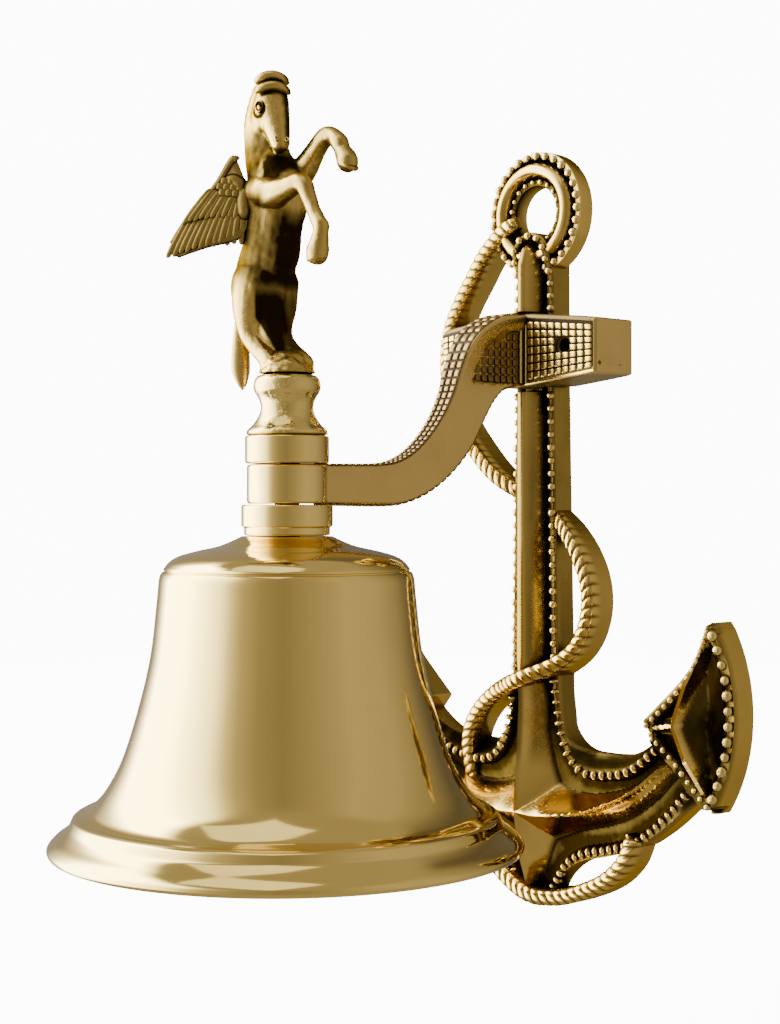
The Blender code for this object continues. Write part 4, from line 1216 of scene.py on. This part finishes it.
def horse_parts():
    """Limbs and muscles that overlap, before they are merged into one skin."""
    limbs = [
        [(-12.5, 0, 58, 8.2), (-12.6, 0, 63, 9.8), (-11.9, 0, 69.5, 9.3), (-8.4, 0, 75.5, 9.5),
         (-6.2, 0, 84, 9.0),
         (-4.2, 0, 92, 9.6), (-6.4, 0, 98.5, 9.2), (-9.2, 0, 104.5, 7.8), (-11.3, 0, 110.5, 6.9),
         (-12.0, 0, 116.5, 6.5), (-11.2, 0, 122.5, 5.8), (-9.2, -0.4, 127.0, 4.8)],
        [(-6.4, -1.4, 122.5, 5.9), (-3.4, -2.2, 116.8, 4.9), (-0.6, -2.9, 111.6, 3.7),
         (0.8, -3.3, 108.8, 3.1)],
        [(-6.5, -5.5, 94.5, 5.6), (1.0, -7.0, 92.2, 4.9), (8.5, -7.4, 92.7, 3.7), (14.4, -7.2, 94.0, 3.1),
         (17.2, -7.0, 93.0, 2.9), (19.4, -6.8, 88.6, 2.5), (22.0, -6.6, 83.6, 2.3), (24.6, -6.4, 79.4, 2.7),
         (24.2, -6.3, 76.8, 2.4)],
        [(24.2, -6.3, 76.4, 2.7), (23.2, -6.2, 73.2, 3.4), (22.6, -6.2, 71.2, 3.7)],
        [(-5.5, 5.5, 97.5, 5.2), (1.5, 6.3, 102.0, 4.3), (7.0, 6.3, 107.0, 3.3), (12.0, 6.2, 110.6, 3.0),
         (15.6, 6.2, 110.2, 2.6), (18.6, 6.3, 107.6, 2.9), (19.8, 6.4, 105.0, 2.4)],
        [(19.8, 6.4, 105.0, 2.6), (21.4, 6.5, 102.8, 3.2), (22.2, 6.5, 101.2, 3.5)],
        [(-10.8, -4.2, 65.5, 7.6), (-12.4, -5.2, 58.0, 6.2), (-13.0, -5.2, 51.5, 4.4),
         (-11.6, -5.0, 47.0, 3.4),
         (-7.6, -4.8, 43.0, 3.0), (-4.4, -4.6, 40.4, 3.2), (-2.8, -4.5, 38.4, 3.6)],
        [(-10.4, 4.0, 65.5, 7.4), (-11.0, 5.2, 58.0, 6.2), (-11.0, 5.3, 51.5, 4.6), (-9.0, 5.1, 47.0, 3.9),
         (-4.0, 4.8, 43.2, 3.3), (0.4, 4.5, 40.4, 3.4), (2.8, 4.3, 38.6, 3.7)],
        [(-11.0, 0, 60, 6.6), (-9.6, 0, 51, 5.0), (-7.0, 0, 44, 4.6), (-5.0, 0, 39, 4.2)],
    ]
    muscles = [
        ((-3.2, 0, 94.0), (9.8, 9.0, 8.2), (0, -20, 0)), ((-6.0, -4.8, 92.5), (6.8, 5.2, 8.8), (0, -18, 0)),
        ((-6.0, 4.8, 92.5), (6.8, 5.2, 8.8), (0, -18, 0)), ((-12.8, -4.0, 64.0), (8.6, 6.4, 9.6)),
        ((-12.4, 4.0, 64.0), (8.2, 6.2, 9.4)), ((-8.2, -4.2, 118.6), (5.4, 3.2, 6.0), (0, 24, -18)),
        ((-7.0, 2.0, 119.4), (5.2, 3.0, 6.0), (0, 24, -18)), ((-6.6, -1.0, 124.6), (5.6, 5.2, 5.8)),
        ((0.6, -3.2, 109.6), (3.5, 3.2, 2.9), (0, 58, -18)),
    ]
    return [limb(keys) for keys in limbs] + [lump(*muscle) for muscle in muscles]


def remeshed(piece, grain, passes):
    """One closed skin round overlapping closed bodies, lightly smoothed."""
    skin = piece.modifiers.new("skin", "REMESH")
    skin.mode, skin.voxel_size = "VOXEL", grain * MM
    soft = piece.modifiers.new("soft", "SMOOTH")
    soft.factor, soft.iterations = 0.5, passes
    piece.data = applied(piece)
    return piece


def sculpt_horse(piece):
    """Folds under the belly, sinew on the neck and flanks, and faint dents, pushed along the normals."""
    points, normals = skin_points(piece)
    spots = points - (0.0, AXIS_Y, 0.0)
    x, y, z = spots.T
    push = 0.10 * np.array([noise.noise(Vector(p) * 0.5) for p in spots])
    push += 0.07 * ease(-6, 2, x) * ease(68, 73, z) * (1 - ease(84, 89, z)) * np.sin(z * 1.6 + 0.25 * y)
    push += 0.14 * ease(48, 52, z) * (1 - ease(62, 67, z)) * ease(-9, -5, x) * np.sin(y * 1.9 + 0.4 * z)
    push += 0.13 * ease(99, 103, z) * (1 - ease(112, 117, z)) * np.sin(np.arctan2(y, x + 12) * 9)
    piece.data.vertices.foreach_set("co", ((points + normals * push[:, None]) * MM).ravel())
    piece.data.update()
    return piece


def horse_patina_and_shade(points, normals):
    """Brown patina with painted shade: darker on the belly, throat, neck and trunk, between the hind legs, on
    faces that turn down or away from the light, and round the near eye.
    """
    x, y, z = (points - (0.0, AXIS_Y, 0.0)).T
    # Painted shade on faces that turn forward and to the right, away from the light.
    ahead = ease(-0.05, 0.6, normals @ np.array([0.86, 0.50, 0.0]))
    belly = 0.88 * ahead * ease(56, 66, z) * (1 - ease(86, 91, z)) * (1 - ease(2, 7, x))
    throat = ease(-0.1, 0.5, normals[:, 0]) * ease(94, 98, z) * (1 - ease(104, 110, z)) * (1 - ease(2, 6, x))
    across = SHOW_SIDE[0] * x + SHOW_SIDE[1] * y
    start = np.interp(z, [43.5, 46.9, 53.7, 66], [-4.8, -6.8, -11.2, -11.2])
    # Painted shade between the hind legs.
    between = ease(start, start + 1.5, across) * ease(41, 43.5,
                                                      z) * (1 - ease(58, 72, z)) * (1 - ease(2, 7, x))
    between *= 0.94 - 0.26 * ease(-3.5, 0.5, across)
    # Painted shade on faces that turn downward.
    under = ease(0.35, 0.8, -normals[:, 2]) * ease(60, 70, z) * 0.6
    neck = 0.80 * ease(90, 97, z) * (1 - ease(107, 120, z)) * (1 - ease(-5, -1, x))
    trunk = 0.60 * ease(60, 70, z) * (1 - ease(90, 96, z)) * (1 - ease(1, 5, x)) + 0.18
    trunk *= 1 - 0.5 * ease(-9, -6, across) * (1 - ease(-5, -2, across))
    # Painted shade on the head's faces that turn to the right, away from the light.
    cheek = 0.80 * ease(0.45, 0.8, normals @ np.array(SHOW_SIDE)) * ease(107, 110, z)
    socket = np.linalg.norm(points - np.array(at(-5.4, -7.2, 119.9)), axis=1)
    lids = 0.96 * ease(1.3, 1.7, socket) * (1 - ease(2.6, 3.2, socket))
    return np.maximum.reduce([belly, 0.90 * throat, between, under, neck, trunk, cheek, lids])


def mound():
    """Rough ground under the hooves."""
    bm = bmesh.new()
    bmesh.ops.create_icosphere(bm, subdivisions=5, radius=1.0)
    for vertex in bm.verts:
        x, y, z = vertex.co
        rough = 1 + 0.10 * noise.noise(Vector((x, y, z)) * 3.1) + 0.05 * noise.noise(Vector((x, y, z)) * 8.3)
        flat = 9.0 * rough * (0.80 + 0.20 * (1 - max(z, 0)))
        vertex.co = Vector(at(x * flat, y * flat, 35.4 + max(z, 0.0) * 7.4 * rough)) * MM
    return object_from_bmesh("mound", bm)


def loop_bar(centre, along, up, radii, thick):
    """An oval wire about a centre, in the plane of two directions."""
    path = [Vector(at(*centre)) + radii[0] * math.cos(t) * Vector(along).normalized()
            + radii[1] * math.sin(t) * Vector(up).normalized()
            for t in np.radians(np.linspace(0, 360, 19))]
    return bar("wire", path, thick, 8)


def horse_details():
    """Eyes and lids, nostrils, forelock rolls, mane locks, a coronet over each raised hoof, and the tail."""
    ahead, parts = Vector((0.42, -0.12, -0.90)).normalized(), []
    sideways = Vector((0.50, 0.87, 0.0)).normalized()
    face = sideways.cross(ahead)
    face = face if face.dot(Vector((1, 0, 0))) > 0 else -face
    for side in (-1, 1):
        socket = Vector((-4.9, -2.0, 119.6)) + sideways * side * 4.6 + face * (2.9 if side < 0 else 1.2)
        out = (sideways * side + face * (0.75 if side < 0 else 0.2)).normalized()
        level = out.cross(ahead).normalized()
        parts.append(lump(tuple(socket - out * 0.5), (1.2, 1.2, 1.2)))
        parts.append(loop_bar(tuple(socket + out * 0.1), ahead, level, (2.0, 1.6), 0.36))
        nostril = Vector((1.2, -3.6, 108.6)) + sideways * side * 1.7 + face * 2.4
        parts.append(loop_bar(tuple(nostril), ahead, out, (0.75, 0.55), 0.28))
    for x, y, z, long, thick in ((-5.0, -2.0, 131.6, 5.4, 1.75), (-1.6, -4.2, 127.5, 5.6, 1.5)):
        steps = np.linspace(-1, 1, 15)
        path = [Vector(at(x, y, z - 0.8 * k * k)) + sideways * long * k - face * 2.6 * k * k for k in steps]
        parts.append(bar("forelock_roll", path, [thick * max(0.12, 1 - k**6) ** 0.5 for k in steps], 16))
    for k in range(11):
        share = k / 10
        z = 130.5 - 24 * share
        x = -14.2 - 4.2 * math.sin(math.pi * min(1.0, share * 1.1))
        for side in (-1, 1):
            lock = [at(x + 1.8, side * 0.6, z), at(x + 0.2, side * 1.6, z - 1.8),
                    at(x + 0.2, side * 2.5, z - 4.0), at(x + 1.2, side * 3.1, z - 6.0)]
            parts.append(bar("lock", smooth_path(lock, 3),
                             [1.2, 1.25, 1.2, 1.15, 1.1, 1.0, 0.9, 0.75, 0.55, 0.3], 10))
    for centre, along in (((22.5, -6.2, 69.6), (1, 0, 0.1)), ((22.8, 6.5, 100.0), (0.8, 0, -0.5))):
        parts.append(loop_bar(centre, along, (0, 1, 0), (2.7, 2.5), 0.75))
    tail = [(-15.5, 0, 66.5, 1.9), (-19.2, -0.6, 63.5, 2.2), (-21.4, -1.1, 58.0, 2.3),
            (-22.3, -1.4, 50.0, 2.6),
            (-22.5, -1.5, 42.0, 3.1), (-22.4, -1.5, 37.0, 3.0), (-21.7, -1.5, 33.0, 1.6),
            (-21.6, -1.5, 31.8, 0.7)]
    made = limb(tail, 16)
    broad = Vector(SHOW_SIDE)
    for vertex in made.data.vertices:
        off = vertex.co - Vector(at(-21.8, -1.4, 0)) * MM
        off.z = 0.0
        thin = off - broad * off.dot(broad)
        vertex.co -= thin * 0.5 * (1 - float(ease(0.052, 0.062, vertex.co.z)))
    parts.append(made)
    return parts


figure = sculpt_horse(remeshed(joined("horse_figure_cast", horse_parts() + [mound()]), 0.55, 3))
figure = joined("horse_figure_cast", [figure] + horse_details())
figure.data.shade_smooth()
mark_patina_and_shade(figure, horse_patina_and_shade)
figure_brass = brass_finish("browned_figure_brass", hollow_patina, 0.35, rim=(0.75, 0.55, 0.25, 1),
                            Bright=(0.66, 0.47, 0.13, 1), Dark=(0.016, 0.0098, 0.0022, 1), Reach=0.006,
                            Amount=1.15, Cling=0.34, Polish=0.20, Grain=0.7)
settle(figure, figure_brass, "antique_brass", "mounted_bell", "horse_figure")


# ---------------------------------------------------------------------------------------------------------
# Wings: two thin castings brazed to the shoulders. A plain leading edge carries a patch of round scales,
# then two tiers of long overlapping feathers.

def feather_tree():
    """Lays one blunt vane at each point, turned and sized by the point's own values."""
    tree, given, out = geometry_tree("feathers", [("Finish", "Material", None)])
    vane = any_node(tree, "GeometryNodeMeshIcoSphere", Subdivisions=3, Radius=1.0)
    spot = any_node(tree, "ShaderNodeSeparateXYZ", i0=any_node(tree, "GeometryNodeInputPosition").outputs[0])
    square = any_node(tree, "ShaderNodeMath", {"operation": "MULTIPLY"}, i0=spot.outputs[0],
                      i1=spot.outputs[0])
    room = any_node(tree, "ShaderNodeMath", {"operation": "SUBTRACT"}, i0=1.02, i1=square.outputs[0])
    blunt = any_node(tree, "ShaderNodeMath", {"operation": "POWER"}, i0=room.outputs[0], i1=-0.26)
    wide = any_node(tree, "ShaderNodeMath", {"operation": "MULTIPLY"}, i0=spot.outputs[1],
                    i1=blunt.outputs[0])
    shape = any_node(tree, "ShaderNodeCombineXYZ", X=spot.outputs[0], Y=wide.outputs[0], Z=spot.outputs[2])
    vane = any_node(tree, "GeometryNodeSetPosition", Geometry=vane.outputs[0], Position=shape.outputs[0])
    shift = any_node(tree, "GeometryNodeTransform", Geometry=vane.outputs[0], Translation=(1.0, 0.0, 0.0))
    shift = any_node(tree, "GeometryNodeSetShadeSmooth", Geometry=shift.outputs[0])
    turn = any_node(tree, "GeometryNodeInputNamedAttribute", {"data_type": "FLOAT_VECTOR"}, Name="turn")
    size = any_node(tree, "GeometryNodeInputNamedAttribute", {"data_type": "FLOAT_VECTOR"}, Name="size")
    placed = any_node(tree, "GeometryNodeInstanceOnPoints", Points=given.outputs["Mesh"],
                      Instance=shift.outputs[0],
                      Rotation=turn.outputs[0], Scale=size.outputs[0])
    real = any_node(tree, "GeometryNodeRealizeInstances", Geometry=placed.outputs[0])
    done = any_node(tree, "GeometryNodeSetMaterial", Geometry=real.outputs[0],
                    Material=given.outputs["Finish"])
    tree.links.new(done.outputs[0], out.inputs[0])
    return tree


feathers = feather_tree()
WING_OUTLINE = smooth_path([(0.6, 16.6), (-0.8, 17.6), (-2.6, 15.2), (-6.0, 9.6), (-11.4, 3.4), (-16.0, -1.6),
                            (-20.2, -7.4), (-22.4, -11.8)], 3) + smooth_path(
                                [(-18.6, -13.6), (-8.5, -10.6), (0.0, -8.6), (3.4, -5.0), (3.8, 3.0),
                                 (3.2, 10.0)], 3)


def wing(side, word):
    """One wing on side -1 or 1: a cupped blade, its feathers, its leading edge and the shoulder it grows from."""
    root = Vector(at(-12.6, side * 10.8, 87.0))
    out = Vector((0.62, -side * 0.78, 0)).normalized()
    face = Vector((0.78, side * 0.62, 0)).normalized()

    def spot(u, w, lift):
        return root + out * u + Vector((0, 0, w)) + face * (lift - 0.012 * u * u)

    sections = [[tuple(spot(u * k, w * k + 2 * (1 - k), lift)) for u, w in WING_OUTLINE]
                for k, lift in ((0.94, -1.1), (1.0, -0.7), (1.0, 0.5), (0.93, 0.9))]
    base = lofted("wing_base", sections, 40.0)
    feather_list = []
    for count, start, stop, tip_in, tip_out, wide, lift in (
            (12, (2.2, 0.0), (-14.2, 1.0), (1.6, -10.0), (-22.4, -14.4), 1.18, 0.7),
            (11, (2.6, 6.2), (-8.4, 8.0), (1.4, -2.4), (-17.2, -3.4), 1.05, 1.25)):
        for k in range(count):
            share = k / (count - 1)
            root_u, root_w = (start[i] + (stop[i] - start[i]) * share for i in range(2))
            tip_u, tip_w = (tip_in[i] + (tip_out[i] - tip_in[i]) * share ** 0.95 for i in range(2))
            tip_w += 1.1 * math.sin(math.pi * share) + 0.35 * (k % 2)
            lean = math.atan2(tip_w - root_w, tip_u - root_u)
            long = math.hypot(tip_u - root_u, tip_w - root_w)
            feather_list.append((root_u, root_w, lean, long, wide, lift + 0.16 * (k % 2)))
    for row in range(3):
        for k in range(4 - row // 2):
            feather_list.append((2.2 - 2.1 * k - 0.7 * row, 7.4 + 1.9 * row + 0.15 * k, math.radians(-108),
                                 2.6,
                                 1.25, 1.75 - 0.12 * row))
    guide = bpy.data.meshes.new("feather_roots")
    guide.from_pydata([tuple(spot(u, w, lift) * MM) for u, w, _, _, _, lift in feather_list], [], [])
    turns = guide.attributes.new("turn", "FLOAT_VECTOR", "POINT")
    sizes = guide.attributes.new("size", "FLOAT_VECTOR", "POINT")
    for i, (u, w, lean, long, wide, _) in enumerate(feather_list):
        along = out * math.cos(lean) + Vector((0, 0, math.sin(lean))) + face * (-0.07)
        along.normalize()
        across = face.cross(along).normalized()
        frame_turn = Matrix((along, across, along.cross(across))).transposed()
        turns.data[i].vector = frame_turn.to_euler()
        sizes.data[i].vector = Vector((long / 2, wide, 0.62)) * MM
    plumage = grown(new_object("feather_roots", guide), feathers, "plumage", Finish=figure_brass)
    edge = [tuple(spot(u, w, 0.3)) for u, w in WING_OUTLINE[1:20]]
    rim = bar("wing_edge", edge, [1.5 - 0.9 * i / len(edge) for i in range(len(edge))], 12)
    joint = lump((-11.4, side * 8.6, 90.5), (3.4, 3.2, 6.2))
    shoulder = limb([(-12.0, side * 9.8, 96.5, 2.6), (-13.6, side * 11.6, 98.0, 2.3),
                     (-15.4, side * 13.4, 96.6, 1.7)], 16)
    made = joined(f"wing_{word}_feathered", [base, plumage, rim, joint, shoulder])
    # Patina with painted shade: faces that don't look straight out of the wing's face, such as feather edges and
    # the gaps between them, are darker.
    mark_patina_and_shade(made, lambda _,
                 normals: 0.46 + 0.52 * (1 - ease(0.6, 0.95, np.abs(normals @ np.array(face)))))
    made.data.shade_smooth()
    made.data.set_sharp_from_angle(angle=math.radians(50))
    settle(made, figure_brass, "antique_brass", "mounted_bell", f"wing_{word}")


wing(-1, "right")
wing(1, "left")


# ---------------------------------------------------------------------------------------------------------
# Studio: a lit white floor in a white room. One tall white wall stands on the left, a beige one on the
# right, a weak softbox hangs overhead, and the side behind the camera is dim.

FLOOR_Z = -0.200


def studio_floor():
    """A round white floor below the bell that glows evenly, but neither lights the bell nor mirrors in it."""
    bm = bmesh.new()
    bmesh.ops.create_circle(bm, cap_ends=True, segments=64, radius=1.6)
    floor = object_from_bmesh("studio_floor", bm)
    floor.data.transform(Matrix.Translation((0.0, -0.1, FLOOR_Z)))
    material = bpy.data.materials.new("pale_floor")
    material.use_nodes = True
    tree = material.node_tree
    shader = tree.nodes["Principled BSDF"]
    shader.inputs["Base Color"].default_value = (0.93, 0.92, 0.90, 1)
    shader.inputs["Roughness"].default_value = 0.6
    shader.inputs["Emission Color"].default_value = (1.0, 0.995, 0.985, 1)
    shader.inputs["Emission Strength"].default_value = 11.0
    floor.data.materials.append(material)
    floor.visible_glossy = floor.visible_diffuse = floor.visible_shadow = False
    return floor


studio_floor()


def soft_light(name, place, towards, size, power, colour):
    """A rectangular area light at a place, turned to face a point."""
    data = bpy.data.lights.new(name, "AREA")
    data.shape, data.size, data.size_y = "RECTANGLE", size[0], size[1]
    data.energy, data.color = power, colour
    light = new_object(name, data)
    light.location = place
    light.rotation_euler = (towards - place).to_track_quat("-Z", "Y").to_euler()
    return light


VIEW_TURN = math.radians(48.0)
toward_camera = Vector((math.sin(VIEW_TURN), -math.cos(VIEW_TURN), 0.0))
right_hand = Vector((math.cos(VIEW_TURN), math.sin(VIEW_TURN), 0.0))
middle = Vector((0.0, -0.08, 0.0))
soft_light("overhead_softbox", middle + toward_camera * 0.35 - right_hand * 0.3 + Vector((0, 0, 1.3)), middle,
           (1.0, 0.7), 2.8, (1.0, 0.97, 0.90))

world = bpy.data.worlds.new("white_room")
bpy.context.scene.world = world
world.use_nodes = True
room = world.node_tree
# Brightness of the walls by the angle from the camera's side, right-hand angles positive.
WALLS = [(-180, 0.35), (-152, 0.5), (-140, 2.5), (-128, 15.0), (-95, 15.0), (-77, 8.5), (-58, 4.2),
         (-45, 1.4),
         (-36, 0.75), (-20, 0.46), (0, 0.36), (28, 0.50), (56, 0.68), (88, 0.62), (115, 0.40), (142, 0.14),
         (180, 0.20)]
PEAK, CEILING, HORIZON = 16.0, 0.5, (-0.62, -0.36, 0.74, 0.84)
CURVE = 3.0  # the ramp holds roots, so that the dim walls keep their steps
direction = add_node(room, "TexCoord").outputs["Generated"]
across, towards = (add_node(room, "VectorMath", {"operation": "DOT_PRODUCT"}, i0=direction,
                            i1=way).outputs["Value"] for way in (right_hand, toward_camera))
turn = maths(room, "ADD", maths(room, "DIVIDE", maths(room, "ARCTAN2", across, towards), 2 * math.pi), 0.5)
ramp = add_node(room, "ValToRGB", Fac=turn)
stops = ramp.color_ramp.elements
while len(stops) < len(WALLS):
    stops.new(0.5)
for stop, (angle, _) in zip(stops, WALLS):
    stop.position = angle / 360 + 0.5
for stop, (_, bright) in zip(stops, WALLS):
    stop.color = (*[(bright / PEAK) ** (1 / CURVE)] * 3, 1)
glow = maths(room, "MULTIPLY", maths(room, "POWER", ramp.outputs[0], CURVE), PEAK)
rise = add_node(room, "SeparateXYZ", Vector=direction).outputs[2]
below, floor_edge, wall_top, above = HORIZON
level = maths(room, "MULTIPLY", remap(room, rise, above, wall_top), remap(room, rise, below, floor_edge))
glow = maths(room, "ADD", maths(room, "MULTIPLY", glow, level),
             maths(room, "MULTIPLY", maths(room, "SUBTRACT", 1.0, level), CEILING))
tint = blend_colour(room, remap(room, glow, 0.6, 3.0), (1.0, 0.89, 0.74, 1), (1.0, 0.985, 0.93, 1))
room.links.new(tint, room.nodes["Background"].inputs["Color"])
room.links.new(glow, room.nodes["Background"].inputs["Strength"])
white = add_node(room, "Background", Color=(1.0, 1.0, 1.0, 1), Strength=12.0)
seen = add_node(room, "LightPath").outputs["Is Camera Ray"]
choice = room.nodes.new("ShaderNodeMixShader")
room.links.new(seen, choice.inputs[0])
room.links.new(room.nodes["Background"].outputs[0], choice.inputs[1])
room.links.new(white.outputs[0], choice.inputs[2])
room.links.new(choice.outputs[0], room.nodes["World Output"].inputs[0])

lens = bpy.data.cameras.new("camera")
lens.sensor_width, lens.lens, lens.shift_y = 36.0, 63.28, -0.0117
camera = new_object("camera", lens)
camera.location = (0.4509, -0.4856, -0.005)
camera.rotation_euler = (math.radians(90), 0.0, VIEW_TURN)
bpy.context.scene.camera = camera
